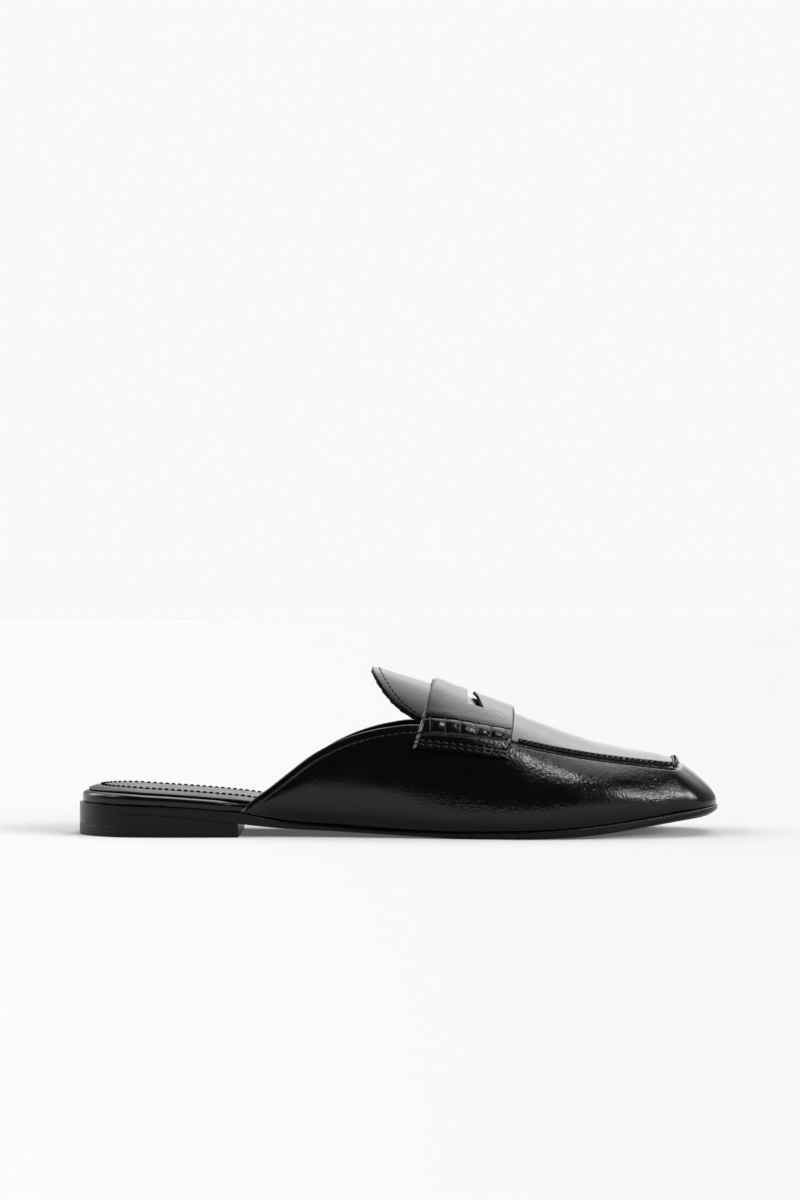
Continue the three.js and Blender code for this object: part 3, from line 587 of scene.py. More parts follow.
# The sock: leather over a thin foam pad, laid on the footbed. One row of black stitches runs
# round it 5.5 mm inside its edge and pulls the pad down.
SOCK_INSET = 3.0 * MM
SOCK_EDGE = 0.5 * MM
SOCK_PAD = 1.3 * MM
SOCK_CLEARANCE = 1.1 * MM
SOCK_STITCH_INSET = 5.4 * MM


def sock_out(more):
    hidden = WALL + FEATHER_INSET + SOCK_CLEARANCE
    return lambda x: inside_wall(x, SOCK_INSET + more, hidden + more)


def sock_height(up):
    return lambda x: footbed_top(x) + GAP + up


sock = plate("sock_pad", 200, [
    (0, sock_out(0.5 * MM), sock_height(-0.2 * MM)),
    (1, sock_out(0.5 * MM), sock_height(-0.2 * MM)),
    (1, sock_out(0.05 * MM), sock_height(-0.1 * MM)),
    (1, sock_out(0), sock_height(0.1 * MM)),
    (1, sock_out(0.12 * MM), sock_height(0.35 * MM)),
    (1, sock_out(0.45 * MM), sock_height(SOCK_EDGE)),
    (1, sock_out(1.2 * MM), sock_height(SOCK_EDGE + 0.28 * SOCK_PAD)),
    (1, sock_out(2.6 * MM), sock_height(SOCK_EDGE + 0.66 * SOCK_PAD)),
    (1, sock_out(4.2 * MM), sock_height(SOCK_EDGE + 0.88 * SOCK_PAD)),
    (1, sock_out(4.9 * MM), sock_height(SOCK_EDGE + 0.86 * SOCK_PAD)),
    (1, sock_out(5.2 * MM), sock_height(SOCK_EDGE + 0.74 * SOCK_PAD)),
    (1, sock_out(5.5 * MM), sock_height(SOCK_EDGE + 0.74 * SOCK_PAD)),
    (1, sock_out(5.8 * MM), sock_height(SOCK_EDGE + 0.88 * SOCK_PAD)),
    (1, sock_out(6.6 * MM), sock_height(SOCK_EDGE + 0.98 * SOCK_PAD)),
    (1, sock_out(8.0 * MM), sock_height(SOCK_EDGE + SOCK_PAD)),
    (0.5, sock_out(8.0 * MM), sock_height(SOCK_EDGE + SOCK_PAD)),
    (0, sock_out(8.0 * MM), sock_height(SOCK_EDGE + SOCK_PAD)),
])

# softer calf with a satin finish, its grain a little coarser than the upper's
satin_calf = leather("satin calf", "#070708", 0.38, 0.46, 0.8 * MM, 0.04 * MM, 0.6)
sock.data.materials.append(satin_calf)
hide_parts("sock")
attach(sock, "root")


def thread(name, roughness, sheen):
    """Black sewing thread of three plies; sheen is the share of a usual gloss."""
    return bumped(name, {"Base Color": linear("#040404"), "Roughness": roughness, "IOR": 1.4,
                         "Specular IOR Level": sheen}, 0.25 * MM, 2, 0.4, 0.05 * MM)


matt_thread = thread("matt black thread", 0.8, 0)
waxed_thread = thread("waxed black thread", 0.3, 0.5)

bpy.ops.object.select_all(action="DESELECT")
bpy.ops.mesh.primitive_uv_sphere_add(segments=8, ring_count=6, radius=0.5)
stitch = bpy.context.object
stitch.name = "one_stitch"
bpy.ops.object.shade_smooth()


def along(path, distance):
    """Point, direction and normal at a distance along a list of (point, normal)."""
    for (a, normal_a), (b, normal_b) in zip(path, path[1:]):
        step = (b - a).length
        if distance <= step and step > 0:
            t = distance / step
            return a.lerp(b, t), (b - a).normalized(), normal_a.lerp(normal_b, t).normalized()
        distance -= step
    return None


def stitch_row(name, paths, material, pitch, length, width, height, slant=0.0):
    """Copies of the one stitch laid along paths, joined into one piece."""
    copies = []
    for path in paths:
        total = sum((b[0] - a[0]).length for a, b in zip(path, path[1:]))
        count = int(total / pitch)
        for k in range(count):
            found = along(path, (k + 0.5) * total / count)
            if not found:
                continue
            point, forward, normal = found
            side = normal.cross(forward).normalized()
            forward = (side.cross(normal) * math.cos(slant) + side * math.sin(slant)).normalized()
            side = normal.cross(forward)
            turn = Matrix((forward * length, side * width, normal * height)).transposed().to_4x4()
            copy = bpy.data.objects.new(name, stitch.data.copy())
            copy.data.transform(Matrix.Translation(point) @ turn)
            bpy.context.collection.objects.link(copy)
            copies.append(copy)
    bpy.ops.object.select_all(action="DESELECT")
    for copy in copies:
        copy.select_set(True)
    bpy.context.view_layer.objects.active = copies[0]
    bpy.ops.object.join()
    row = bpy.context.object
    row.name = name
    row.data.materials.append(material)
    return row


SOCK_PATH_STEPS = 75
sock_path = []
for side, runs in ((LATERAL, range(SOCK_PATH_STEPS, -1, -1)), (MEDIAL, range(0, SOCK_PATH_STEPS + 1))):
    for i in runs:
        x, y = outline_point(side, i / SOCK_PATH_STEPS * 0.55, sock_out(SOCK_STITCH_INSET))
        z = sock_height(SOCK_EDGE + 0.82 * SOCK_PAD)(x)
        sock_path.append((in_frame(x, y, z), Vector((0, 0, 1))))
sock_stitches = stitch_row("sock_stitches", [sock_path], matt_thread, pitch=2.6 * MM,
                           length=2.3 * MM, width=1.2 * MM, height=1.6 * MM)
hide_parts("sock")
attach(sock_stitches, "root")

# The side wall: quarters and vamp of polished calf with a lining, lasted over the form and glued
# under to the sole. Its topline is folded and stitched; in front it is sewn up into the seam.
INSTEP_HEIGHT = 61 * MM
SEAM_ROUND = 12 * MM
THROAT = 150 * MM
TOPLINE_STITCH_DEPTH = 4 * MM

# heights and lower are shares of INSTEP_HEIGHT, half widths of BALL_WIDTH, fall in degrees
RIM = {
    "station": (0.2566, 0.2736, 0.2925, 0.3264, 0.3642, 0.4075, 0.4453, 0.4792,
                0.5189, 0.5660, 0.6226, 0.6830, 0.7321, 0.8113, 0.8906, 0.9321),
    "height": (0.180, 0.254, 0.315, 0.433, 0.557, 0.656, 0.712, 0.743,
               0.763, 0.755, 0.708, 0.651, 0.602, 0.541, 0.497, 0.477),
    "lower": (0.000, 0.020, 0.030, 0.036, 0.034, 0.022, 0.012, 0.004, 0, 0, 0, 0, 0, 0, 0, 0),
    "lateral": (0.338, 0.343, 0.348, 0.350, 0.350, 0.350, 0.350, 0.351,
                0.354, 0.360, 0.371, 0.370, 0.353, 0.309, 0.259, 0.235),
    "medial": (0.303, 0.308, 0.313, 0.320, 0.328, 0.336, 0.345, 0.353,
               0.361, 0.370, 0.383, 0.383, 0.378, 0.353, 0.321, 0.301),
    "fall": (86, 84, 82, 78, 73, 68, 63, 58, 52, 46, 42, 39, 37, 35, 33, 33),
}
CREST = {
    "station": (0.4566, 0.4717, 0.4981, 0.5509, 0.6038, 0.6679,
                0.7151, 0.7698, 0.8019, 0.8604, 0.9019, 0.9321),
    "height": (1.136, 1.123, 1.087, 1.018, 0.938, 0.836, 0.759, 0.670, 0.624, 0.570, 0.538, 0.505),
}
# reach of the wall's lower and upper handles: bulge of BALL_WIDTH, rise and lean of its height
SIDE = {
    "station": (0.257, 0.347, 0.396, 0.472, 0.532, 0.577, 0.642, 0.709, 0.781, 0.838, 0.887, 0.925, 1.000),
    "lateral": (0.010, 0.032, 0.042, 0.058, 0.058, 0.054, 0.058, 0.062, 0.062, 0.060, 0.056, 0.050, 0.032),
    "medial": (0.006, 0.020, 0.028, 0.044, 0.054, 0.060, 0.066, 0.070, 0.070, 0.068, 0.060, 0.052, 0.032),
    "rise": (0.48, 0.44, 0.24, 0.20, 0.17, 0.18, 0.20, 0.30, 0.44, 0.46, 0.34, 0.24, 0.24),
    "lean": (0.28, 0.28, 0.30, 0.28, 0.24, 0.20, 0.27, 0.32, 0.42, 0.40, 0.34, 0.32, 0.36),
}
SEAM_FRONT = RIM["station"][-1] * LENGTH
SEAM = {"table": RIM, "back": QUARTER_START, "front": SEAM_FRONT, "round": SEAM_ROUND, "squareness": 8}
SIDE_END = FEATHER["front"] - TOE_ROUND
LAG_START = 0.74 * LENGTH
TOE_SHARE = 0.78


def seam_station(x):
    """Station of the rim above a station of the sole: it lags behind near the toe."""
    lag = SIDE_END - (SEAM_FRONT - SEAM_ROUND)
    return x - lag * smooth((x - LAG_START) / (SIDE_END - LAG_START))


def rim_height(x):
    return INSTEP_HEIGHT * column(RIM, "height", x)


def crest_height(x):
    return INSTEP_HEIGHT * column(CREST, "height", x)


def apron_height(x, y):
    across = (y - centre(SEAM, x)) / half_width(SEAM, x)
    return rim_height(x) + (crest_height(x) - rim_height(x)) * (1 - across * across)


def wall_handles(side, run):
    """Handles of the wall's curve from the sole up to the rim; run goes from 0 at the quarter's
    end over TOE_SHARE, where the toe starts to turn, to 1 at its tip."""
    if run <= TOE_SHARE:
        x = mix(QUARTER_START, SIDE_END, run / TOE_SHARE)
        foot, rim = side_stop(FEATHER, side, x, -FEATHER_INSET), side_stop(SEAM, side, seam_station(x), 0)
        turn = 0
    else:
        share = smooth((run - TOE_SHARE) / (1 - TOE_SHARE))
        foot, rim = front_stop(FEATHER, side, share, -FEATHER_INSET), front_stop(SEAM, side, share, 0)
        turn = share * math.pi / 2
    toe = smooth(turn / (math.pi / 2))
    out = Vector((math.sin(turn * toe), side * math.cos(turn * toe), 0)).normalized()
    foot_z = feather_height(foot[0])
    lower = INSTEP_HEIGHT * column(RIM, "lower", rim[0]) if side == MEDIAL else 0
    rim_z = apron_height(*rim) - lower
    height = rim_z - foot_z
    at = mix(foot[0], LENGTH, toe)
    bulge = BALL_WIDTH * column(SIDE, "lateral" if side == LATERAL else "medial", at)
    lean = height * column(SIDE, "lean", at)
    fall = math.radians(column(RIM, "fall", rim[0]))
    a, d = Vector((foot[0], foot[1], foot_z)), Vector((rim[0], rim[1], rim_z))
    b = a + out * bulge + Vector((0, 0, height * column(SIDE, "rise", at)))
    c = d + out * lean * math.cos(fall) - Vector((0, 0, lean * math.sin(fall)))
    return a, b, c, d


def wall_line(side, run, count=48):
    """The wall's curve from the rim down, as points with their depth below the rim."""
    a, b, c, d = wall_handles(side, run)
    points, depths = [], []
    for k in range(count + 1):
        v = 1 - k / count
        u = 1 - v
        point = a * u ** 3 + b * (3 * v * u * u) + c * (3 * v * v * u) + d * v ** 3
        depths.append(depths[-1] + (point - points[-1]).length if points else 0)
        points.append(point)
    return points, depths


def at_depth(line, depth):
    points, depths = line
    for k in range(1, len(points)):
        if depth <= depths[k] or k == len(points) - 1:
            return points[k - 1].lerp(points[k], (depth - depths[k - 1]) / (depths[k] - depths[k - 1]))


def spaced(points, step):
    """The same run of points again, at even steps."""
    found, gone, k = [points[0]], 0.0, 1
    while k < len(points):
        reach = (points[k] - points[k - 1]).length
        want = len(found) * step
        if reach < 1e-9 or gone + reach < want:
            gone += reach
            k += 1
        else:
            found.append(points[k - 1].lerp(points[k], (want - gone) / reach))
    return found


def dent(t, width):
    """A soft bell, 1 at t = 0."""
    return math.exp(-(t / width) ** 2)


def laid_grid(name, rows):
    """A grid is added and laid on rows of points; its faces look along rows x columns."""
    bpy.ops.object.select_all(action="DESELECT")
    bpy.ops.mesh.primitive_grid_add(x_subdivisions=len(rows) - 1, y_subdivisions=len(rows[0]) - 1, size=2)
    piece = bpy.context.object
    piece.name = name
    row_of = piece.data.attributes.new("row", "INT", "POINT")
    column_of = piece.data.attributes.new("column", "INT", "POINT")
    for vertex in piece.data.vertices:
        i = round((vertex.co.x + 1) / 2 * (len(rows) - 1))
        j = round((vertex.co.y + 1) / 2 * (len(rows[0]) - 1))
        row_of.data[vertex.index].value, column_of.data[vertex.index].value = i, j
        vertex.co = in_frame(*rows[i][j])
    return piece


def normals_of(rows):
    """Unit normals of a grid of points, along rows x columns."""
    last_row, last_column = len(rows) - 1, len(rows[0]) - 1
    return [[(rows[min(last_row, i + 1)][j] - rows[max(0, i - 1)][j]).cross(
        rows[i][min(last_column, j + 1)] - rows[i][max(0, j - 1)]).normalized()
        for j in range(last_column + 1)] for i in range(last_row + 1)]


WALL_SIDE_STEPS = 190
RIM_ZONE = 8 * MM
RIM_DEPTHS = (0.9, 1.25, 1.6, 2.0, 2.5, 3.0, 3.4, 3.7, 3.85, 4.0, 4.15, 4.3, 4.6, 5.1, 5.8, 6.5, 7.2, 8.0)
LOW_STEPS = 26
FOLD_DEGREES = (30, 60, 90, 120, 150)
wall_stops = [(LATERAL, i / WALL_SIDE_STEPS) for i in range(WALL_SIDE_STEPS + 1)]
wall_stops += [(MEDIAL, i / WALL_SIDE_STEPS) for i in range(WALL_SIDE_STEPS - 1, -1, -1)]


# the outer side's soft swell under the seam: where it starts, is full and ends, its height, its
# reach up and down, and how far it stands out
SWELL_START, SWELL_TOP, SWELL_END = 196 * MM, 238 * MM, 246 * MM
SWELL_HEIGHT, SWELL_REACH, SWELL_OUT = 17 * MM, 10 * MM, 0.35 * MM
# the waist is drawn in towards the arch: where that starts, fades and ends, and how deep it is
WAIST_START, WAIST_FADE, WAIST_END, WAIST_TUCK = 70 * MM, 110 * MM, 165 * MM, 1.3 * MM


def wall_relief(side, point, depth):
    """How far the leather stands out of the plain form, from fold, stitching and seam."""
    x = point.x
    quarter = 1 - smooth((x - 146 * MM) / (6 * MM))
    folded = 0.05 * MM * dent(depth - 2.2 * MM, 1.3 * MM)
    folded -= 0.2 * MM * dent(depth - TOPLINE_STITCH_DEPTH, 0.35 * MM)
    under_seam = -0.7 * MM * dent(depth - 2.2 * MM, 0.9 * MM)
    soft = 0
    if side == LATERAL:
        swell = smooth((x - SWELL_START) / (SWELL_TOP - SWELL_START))
        swell *= 1 - smooth((x - SWELL_TOP) / (SWELL_END - SWELL_TOP))
        soft += SWELL_OUT * swell * dent(point.z - SWELL_HEIGHT, SWELL_REACH)
        at_waist = smooth((x - WAIST_START) / (14 * MM))
        at_waist *= 1 - smooth((x - WAIST_FADE) / (WAIST_END - WAIST_FADE))
        low = point.z - feather_height(x)
        reach = mix(6.5 * MM, 3.5 * MM, (x - 85 * MM) / (55 * MM))
        soft -= WAIST_TUCK * at_waist * (1 - smooth(low / reach))
    return quarter * folded + (1 - quarter) * under_seam + soft


wall_outer, wall_depths = [], []
for side, run in wall_stops:
    line = wall_line(side, run)
    total = line[1][-1]
    zone = min(RIM_ZONE, 0.5 * total)
    depths = [d * zone / RIM_DEPTHS[-1] for d in RIM_DEPTHS]
    depths += [mix(zone, total, (k + 1) / LOW_STEPS) for k in range(LOW_STEPS)]
    wall_outer.append([at_depth(line, d) for d in reversed(depths)])
    wall_depths.append(list(reversed(depths)))
wall_normals = normals_of(wall_outer)

rings = []
for (side, run), points, normals, depths in zip(wall_stops, wall_outer, wall_normals, wall_depths):
    half = depths[-1]
    up = (points[-1] - points[-2]).normalized()
    ring = [p + n * wall_relief(side, p, d) for p, n, d in zip(points, normals, depths)]
    heart = ring[-1] - normals[-1] * half
    for degrees in FOLD_DEGREES:
        angle = math.radians(degrees)
        ring.append(heart + normals[-1] * half * math.cos(angle) + up * half * math.sin(angle))
    inner = list(zip(points, normals))[::-1][::4] + [(points[0], normals[0])]
    ring += [p - n * 2 * half for p, n in inner]
    ring.append(ring[0])
    rings.append(ring)
ends = [[sum(ring[:-1], Vector()) / (len(ring) - 1)] * len(ring) for ring in (rings[0], rings[-1])]
side_wall = laid_grid("side_wall", [ends[0]] + rings + [ends[1]])


def close_and_smooth(piece, angle=50):
    """Welds what meets, turns all faces outward and shades smooth."""
    bpy.context.view_layer.objects.active = piece
    weld(0.001 * MM, 0.0001 * MM)
    bpy.ops.object.shade_smooth_by_angle(angle=math.radians(angle))


close_and_smooth(side_wall)

# lining: pigskin dyed dark, matt
lining = bumped("dyed pigskin lining", {"Base Color": linear("#2A2A2B"), "Roughness": 0.7, "IOR": 1.3},
                0.5 * MM, 3, 0.3, 0.1 * MM)
side_wall.data.materials.append(polished_calf)
side_wall.data.materials.append(lining)
first_inner = len(RIM_DEPTHS) + LOW_STEPS + len(FOLD_DEGREES) + 1
column_of = side_wall.data.attributes["column"].data
for face in side_wall.data.polygons:
    if all(column_of[v].value >= first_inner for v in face.vertices):
        face.material_index = 1
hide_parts("upper")
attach(side_wall, "root")

# The apron: one piece of the same calf over the toes, set into the raised seam and swelling a
# little beside it.
APRON_LAP = WALL / 3


def apron_surface(x, y):
    return Vector((x, y, apron_height(x, y)))


APRON_START, APRON_CORNER = 151, 235
APRON_FRONT_STEPS = 22
APRON_COLUMNS = 64
# a row every millimetre up to the corners of the seam, then rows round its front
apron_stops = [(True, x * MM) for x in range(APRON_START, APRON_CORNER)]
apron_stops += [(False, i / APRON_FRONT_STEPS) for i in range(0, APRON_FRONT_STEPS - 1)]
apron_rows = []
for on_side, at in apron_stops:
    if on_side:
        ends = [side_stop(SEAM, side, at, APRON_LAP) for side in (LATERAL, MEDIAL)]
    else:
        ends = [front_stop(SEAM, side, smooth(at), APRON_LAP) for side in (LATERAL, MEDIAL)]
    (x0, y0), (x1, y1) = ends
    shares = [0.5 - 0.5 * math.cos(math.pi * k / APRON_COLUMNS) for k in range(APRON_COLUMNS + 1)]
    apron_rows.append([apron_surface(mix(x0, x1, s), mix(y0, y1, s)) for s in shares])
apron = laid_grid("apron_plug", apron_rows)


def thicken(piece, thickness, edge):
    """Gives a laid sheet its thickness, below it, and rounds its cut edges."""
    bpy.context.view_layer.objects.active = piece
    body = piece.modifiers.new("thickness", "SOLIDIFY")
    body.thickness = thickness
    body.offset = -1
    bpy.ops.object.modifier_apply(modifier=body.name)
    if edge:
        rounding = piece.modifiers.new("rounding", "BEVEL")
        rounding.width = edge
        rounding.segments = 3
        rounding.limit_method = "ANGLE"
        rounding.angle_limit = math.radians(55)
        bpy.ops.object.modifier_apply(modifier=rounding.name)
    close_and_smooth(piece, 45)


thicken(apron, WALL, 0)
apron.data.materials.append(polished_calf)
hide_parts("upper")
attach(apron, "root")

# The raised seam: the edges of vamp and apron stand up together and are overcast with black
# thread, a low ridge from the strap round the toe.
SEAM_START = 179.7 * MM
SEAM_STEP = 0.4 * MM
SEAM_PITCH = 2.4 * MM
SEAM_PROFILE = 32
# the section is two rolls side by side, drawn in at each stitch
ROLL = 0.74 * MM
ROLL_APART = 0.62 * MM
ROLL_TALL = 1.5
PINCH = 0.3
seam_path = []
for side, run in wall_stops:
    rim = wall_handles(side, run)[3]
    if rim.x > SEAM_START:
        seam_path.append(rim)
seam_path = spaced(seam_path, SEAM_STEP)
seam_pitch = len(seam_path) * SEAM_STEP / int(len(seam_path) * SEAM_STEP / SEAM_PITCH)
seam_frames = []
for i, point in enumerate(seam_path):
    forward = (seam_path[min(len(seam_path) - 1, i + 3)] - seam_path[max(0, i - 3)]).normalized()
    across = Vector((0, 0, 1)).cross(forward).normalized()
    seam_frames.append((point, across, forward.cross(across)))
seam_rings = []
for i, (point, across, up) in enumerate(seam_frames):
    ring = []
    for k in range(SEAM_PROFILE + 1):
        angle = 2 * math.pi * k / SEAM_PROFILE
        out = ROLL_APART * abs(math.cos(angle)) + math.sqrt(ROLL ** 2 - (ROLL_APART * math.sin(angle)) ** 2)
        turn = (i * SEAM_STEP + 0.35 * MM * math.cos(angle)) / seam_pitch - 0.5
        out *= 1 - PINCH * max(0, math.cos(2 * math.pi * turn)) ** 3
        ring.append(point + across * out * math.cos(angle) + up * out * ROLL_TALL * math.sin(angle))
    seam_rings.append(ring)
seam = laid_grid("raised_seam", [[seam_path[0]] * (SEAM_PROFILE + 1)] + seam_rings
                 + [[seam_path[-1]] * (SEAM_PROFILE + 1)])
close_and_smooth(seam)
seam.data.materials.append(polished_calf)
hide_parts("upper")
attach(seam, "root")

overcast = [(in_frame(*(p + up * 0.72 * MM)), up) for p, across, up in seam_frames]
seam_stitches = stitch_row("seam_stitches", [overcast], matt_thread, pitch=SEAM_PITCH,
                           length=2.6 * MM, width=0.55 * MM, height=0.9 * MM, slant=math.radians(66))
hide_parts("upper")
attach(seam_stitches, "root")

for side, name in ((LATERAL, "lateral"), (MEDIAL, "medial")):
    path = []
    for (stop_side, run), points, normals, depths in zip(wall_stops, wall_outer, wall_normals, wall_depths):
        if stop_side != side or points[-1].x > THROAT or depths[0] < 9 * MM:
            continue
        k = min(range(len(depths)), key=lambda j: abs(depths[j] - TOPLINE_STITCH_DEPTH))
        path.append((in_frame(*(points[k] - normals[k] * 0.12 * MM)), normals[k]))
    row = stitch_row("topline_stitches_" + name, [path], waxed_thread, pitch=2.9 * MM,
                     length=1.7 * MM, width=0.55 * MM, height=0.5 * MM, slant=0.35)
    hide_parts("upper")
    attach(row, "root")

# The tongue: the apron's leather carried on under the strap to a free round tip, lined, with
# cut edges and a row of stitches just inside them.
TONGUE_LENGTH = 29 * MM
TONGUE_SIDE_GAP = 1.2 * MM
TONGUE_THICKNESS = 2.4 * MM
TONGUE_END_ANGLE = math.radians(86)
TONGUE_ROWS, TONGUE_COLUMNS = 22, 88
EDGE_ROW = 0.035
LINING_THICKNESS = 1.1 * MM
LINING_LAP = 0.1 * MM
TONGUE_STITCH_SHARE = 0.10


def tongue_point(angle, t):
    """t is 0 at the edge and 1 at the throat."""
    x = THROAT - TONGUE_LENGTH * math.cos(angle) * (1 - t)
    half = half_width(SEAM, THROAT) - TONGUE_SIDE_GAP
    return apron_surface(x, centre(SEAM, x) + half * mix(math.sin(angle), angle / TONGUE_END_ANGLE, t))


def tongue_up(angle, t):
    """Unit normal of the tongue's upper face."""
    point = tongue_point(angle, t)
    ahead, beside = tongue_point(angle, t + 0.02), tongue_point(angle + 0.01, t)
    up = (ahead - point).cross(beside - point).normalized()
    return up if up.z > 0 else -up


tongue_shares = [0] + [mix(EDGE_ROW, 1, k / (TONGUE_ROWS - 1)) for k in range(TONGUE_ROWS)]
tongue = laid_grid("tongue_leather", [[tongue_point(TONGUE_END_ANGLE * (2 * j / TONGUE_COLUMNS - 1), t)
                   for j in range(TONGUE_COLUMNS + 1)] for t in tongue_shares])
thicken(tongue, TONGUE_THICKNESS - LINING_THICKNESS + LINING_LAP, 0.5 * MM)
tongue.data.materials.append(polished_calf)
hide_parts("tongue")
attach(tongue, "root")

# its lining: a thin suede that stands out under the edge, cut by hand and a little ragged; at the
# tip it hardly shows. Rows start beyond the edge, at a negative share
LINING_SHARES = (-0.02, -0.01, 0, 0.05, 0.12, 0.2)
LINING_COLUMNS = 200
lining_rows = []
for t in LINING_SHARES:
    row = []
    for j in range(LINING_COLUMNS + 1):
        angle = TONGUE_END_ANGLE * (2 * j / LINING_COLUMNS - 1)
        ragged = 1 + 0.25 * math.sin(37 * angle) + 0.2 * math.sin(71 * angle + 1)
        ragged += 0.15 * math.sin(131 * angle)
        inside, beyond = max(0, t), max(0, -t * ragged)
        off_tip = mix(0.1, 1, smooth((abs(angle) - 0.15) / 0.35))
        outward = (tongue_point(angle, 0) - tongue_point(angle, 0.05)).normalized()
        point = tongue_point(angle, inside) + outward * beyond * TONGUE_LENGTH * off_tip
        row.append(point - tongue_up(angle, inside) * (TONGUE_THICKNESS - LINING_THICKNESS))
    lining_rows.append(row)
tongue_lining = laid_grid("tongue_lining", lining_rows)
black_suede = bumped("black suede", {"Base Color": linear("#121212"), "Roughness": 0.9,
                                     "Specular IOR Level": 0.1}, 0.4 * MM, 4, 0.5, 0.15 * MM)
thicken(tongue_lining, LINING_THICKNESS, 0)
tongue_lining.data.materials.append(black_suede)
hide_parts("tongue")
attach(tongue_lining, "root")

tongue_path = []
for percent in range(3, 98):
    angle = TONGUE_END_ANGLE * (2 * percent / 100 - 1)
    point, up = tongue_point(angle, TONGUE_STITCH_SHARE), tongue_up(angle, TONGUE_STITCH_SHARE)
    tongue_path.append((in_frame(*point), up))
tongue_stitches = stitch_row("tongue_stitches", [tongue_path], matt_thread, pitch=2.4 * MM,
                             length=1.9 * MM, width=0.6 * MM, height=0.5 * MM)
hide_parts("tongue")
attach(tongue_stitches, "root")

# The saddle strap: a band of calf with folded edges over the instep, a long slot cut across it
# and its ends rolled, whipped with thick thread in five puffs and sewn down with two rows.
STRAP_THICKNESS = 2.2 * MM
STRAP_LOW_THICKNESS = 1.4 * MM
STRAP_LIFT = 0.5 * MM
STRAP_BACK = (145.6 * MM, 137.6 * MM)
STRAP_FRONT = (179.4 * MM, 176.6 * MM)
STRAP_DROP = (28 * MM, 19 * MM)
SLOT_BACK = 159.6 * MM
SLOT_HALF_LENGTH = 19 * MM
SLOT_END_WIDTH = 6.6 * MM
SLOT_MIDDLE_WIDTH = 2.7 * MM
SECTION_STEP = 2 * MM
ARC_STEP = 0.5 * MM
ARC_COUNT = 150


def section_half(side, x):
    """Points every ARC_STEP from the crest over the rim and down the wall, at one station."""
    rim_y = side_stop(SEAM, side, x, 0)[1]
    raw = [apron_surface(x, mix(centre(SEAM, x), rim_y, k / 24)) for k in range(24)]
    raw += wall_line(side, (x - QUARTER_START) / (SIDE_END - QUARTER_START) * TOE_SHARE)[0]
    return spaced(raw, ARC_STEP)[:ARC_COUNT + 1]


sections = {(side, k): section_half(side, k * SECTION_STEP)
            for side in (LATERAL, MEDIAL) for k in range(66, 93)}


def over_the_top(side, x, arc):
    """Point of the plain form at a station, an arc length away from the crest."""
    k = int(x / SECTION_STEP)
    t = x / SECTION_STEP - k
    i = min(int(arc / ARC_STEP), min(len(sections[side, k]), len(sections[side, k + 1])) - 2)
    u = arc / ARC_STEP - i
    before = sections[side, k][i].lerp(sections[side, k][i + 1], u)
    after = sections[side, k + 1][i].lerp(sections[side, k + 1][i + 1], u)
    return before.lerp(after, t)


def arc_down(side, x, drop):
    """Arc length from the crest to where the form has dropped so far below it."""
    floor_z = crest_height(x) - drop
    arc = 10 * MM
    while over_the_top(side, x, arc).z > floor_z:
        arc += ARC_STEP / 2
    return arc


def slot_arc(side):
    arc = 5 * MM
    while abs(over_the_top(side, 162 * MM, arc).y - centre(SEAM, SLOT_BACK)) < SLOT_HALF_LENGTH:
        arc += ARC_STEP / 4
    return arc


def steps(start, end, count):
    """Values from start to end, closer together at both ends."""
    return [mix(start, end, 0.5 - 0.5 * math.cos(math.pi * k / count)) for k in range(count + 1)]


SLOT_COLUMNS, LOW_COLUMNS = 20, 100
BACK_ROWS, SLOT_ROWS, FRONT_ROWS = 26, 4, 30
strap_rows = [[] for _ in range(BACK_ROWS + SLOT_ROWS + FRONT_ROWS + 1)]
for side, order in ((LATERAL, range(SLOT_COLUMNS + LOW_COLUMNS, -1, -1)),
                    (MEDIAL, range(1, SLOT_COLUMNS + LOW_COLUMNS + 1))):
    ends = [arc_down(side, STRAP_BACK[1], STRAP_DROP[0]), arc_down(side, STRAP_FRONT[1], STRAP_DROP[1])]
    slot_end = slot_arc(side)
    for j in order:
        past = max(0, (j - SLOT_COLUMNS) / LOW_COLUMNS)
        share = (min(j, SLOT_COLUMNS) / SLOT_COLUMNS * slot_end + past
                 * (sum(ends) / 2 - slot_end)) / (sum(ends) / 2)
        back = mix(STRAP_BACK[0], STRAP_BACK[1], share * share)
        front = mix(STRAP_FRONT[0], STRAP_FRONT[1], share * share)
        slot_front = SLOT_BACK + mix(SLOT_MIDDLE_WIDTH, SLOT_END_WIDTH, min(1, j / SLOT_COLUMNS))
        xs = (steps(back, SLOT_BACK, BACK_ROWS) + steps(SLOT_BACK, slot_front, SLOT_ROWS)[1:]
              + steps(slot_front, front, FRONT_ROWS)[1:])
        for i, x in enumerate(xs):
            t = (x - back) / (front - back)
            strap_rows[i].append((side, x, j, t, share))
strap_end = {}
for side in (LATERAL, MEDIAL):
    for k in range(17):
        t = k / 16
        x = mix(STRAP_BACK[1], STRAP_FRONT[1], t)
        strap_end[side, k] = arc_down(side, x, mix(STRAP_DROP[0], STRAP_DROP[1], t))
slot_arcs = {side: slot_arc(side) for side in (LATERAL, MEDIAL)}


def strap_surface(side, x, j, t):
    """Point of the form under the strap and its arc length from the strap's lower end."""
    k = min(15, int(t * 16))
    end = mix(strap_end[side, k], strap_end[side, k + 1], t * 16 - k)
    if j <= SLOT_COLUMNS:
        arc = slot_arcs[side] * j / SLOT_COLUMNS
    else:
        arc = mix(slot_arcs[side], end, (j - SLOT_COLUMNS) / LOW_COLUMNS)
    return over_the_top(side, x, arc), end - arc


base = [[strap_surface(side, x, j, t)[0] for side, x, j, t, share in row] for row in strap_rows]
from_end = [[strap_surface(side, x, j, t)[1] for side, x, j, t, share in row] for row in strap_rows]
base_normals = normals_of(base)
WHIPPED = [mix(144.8, 175.2, k / 5) * MM for k in range(6)]


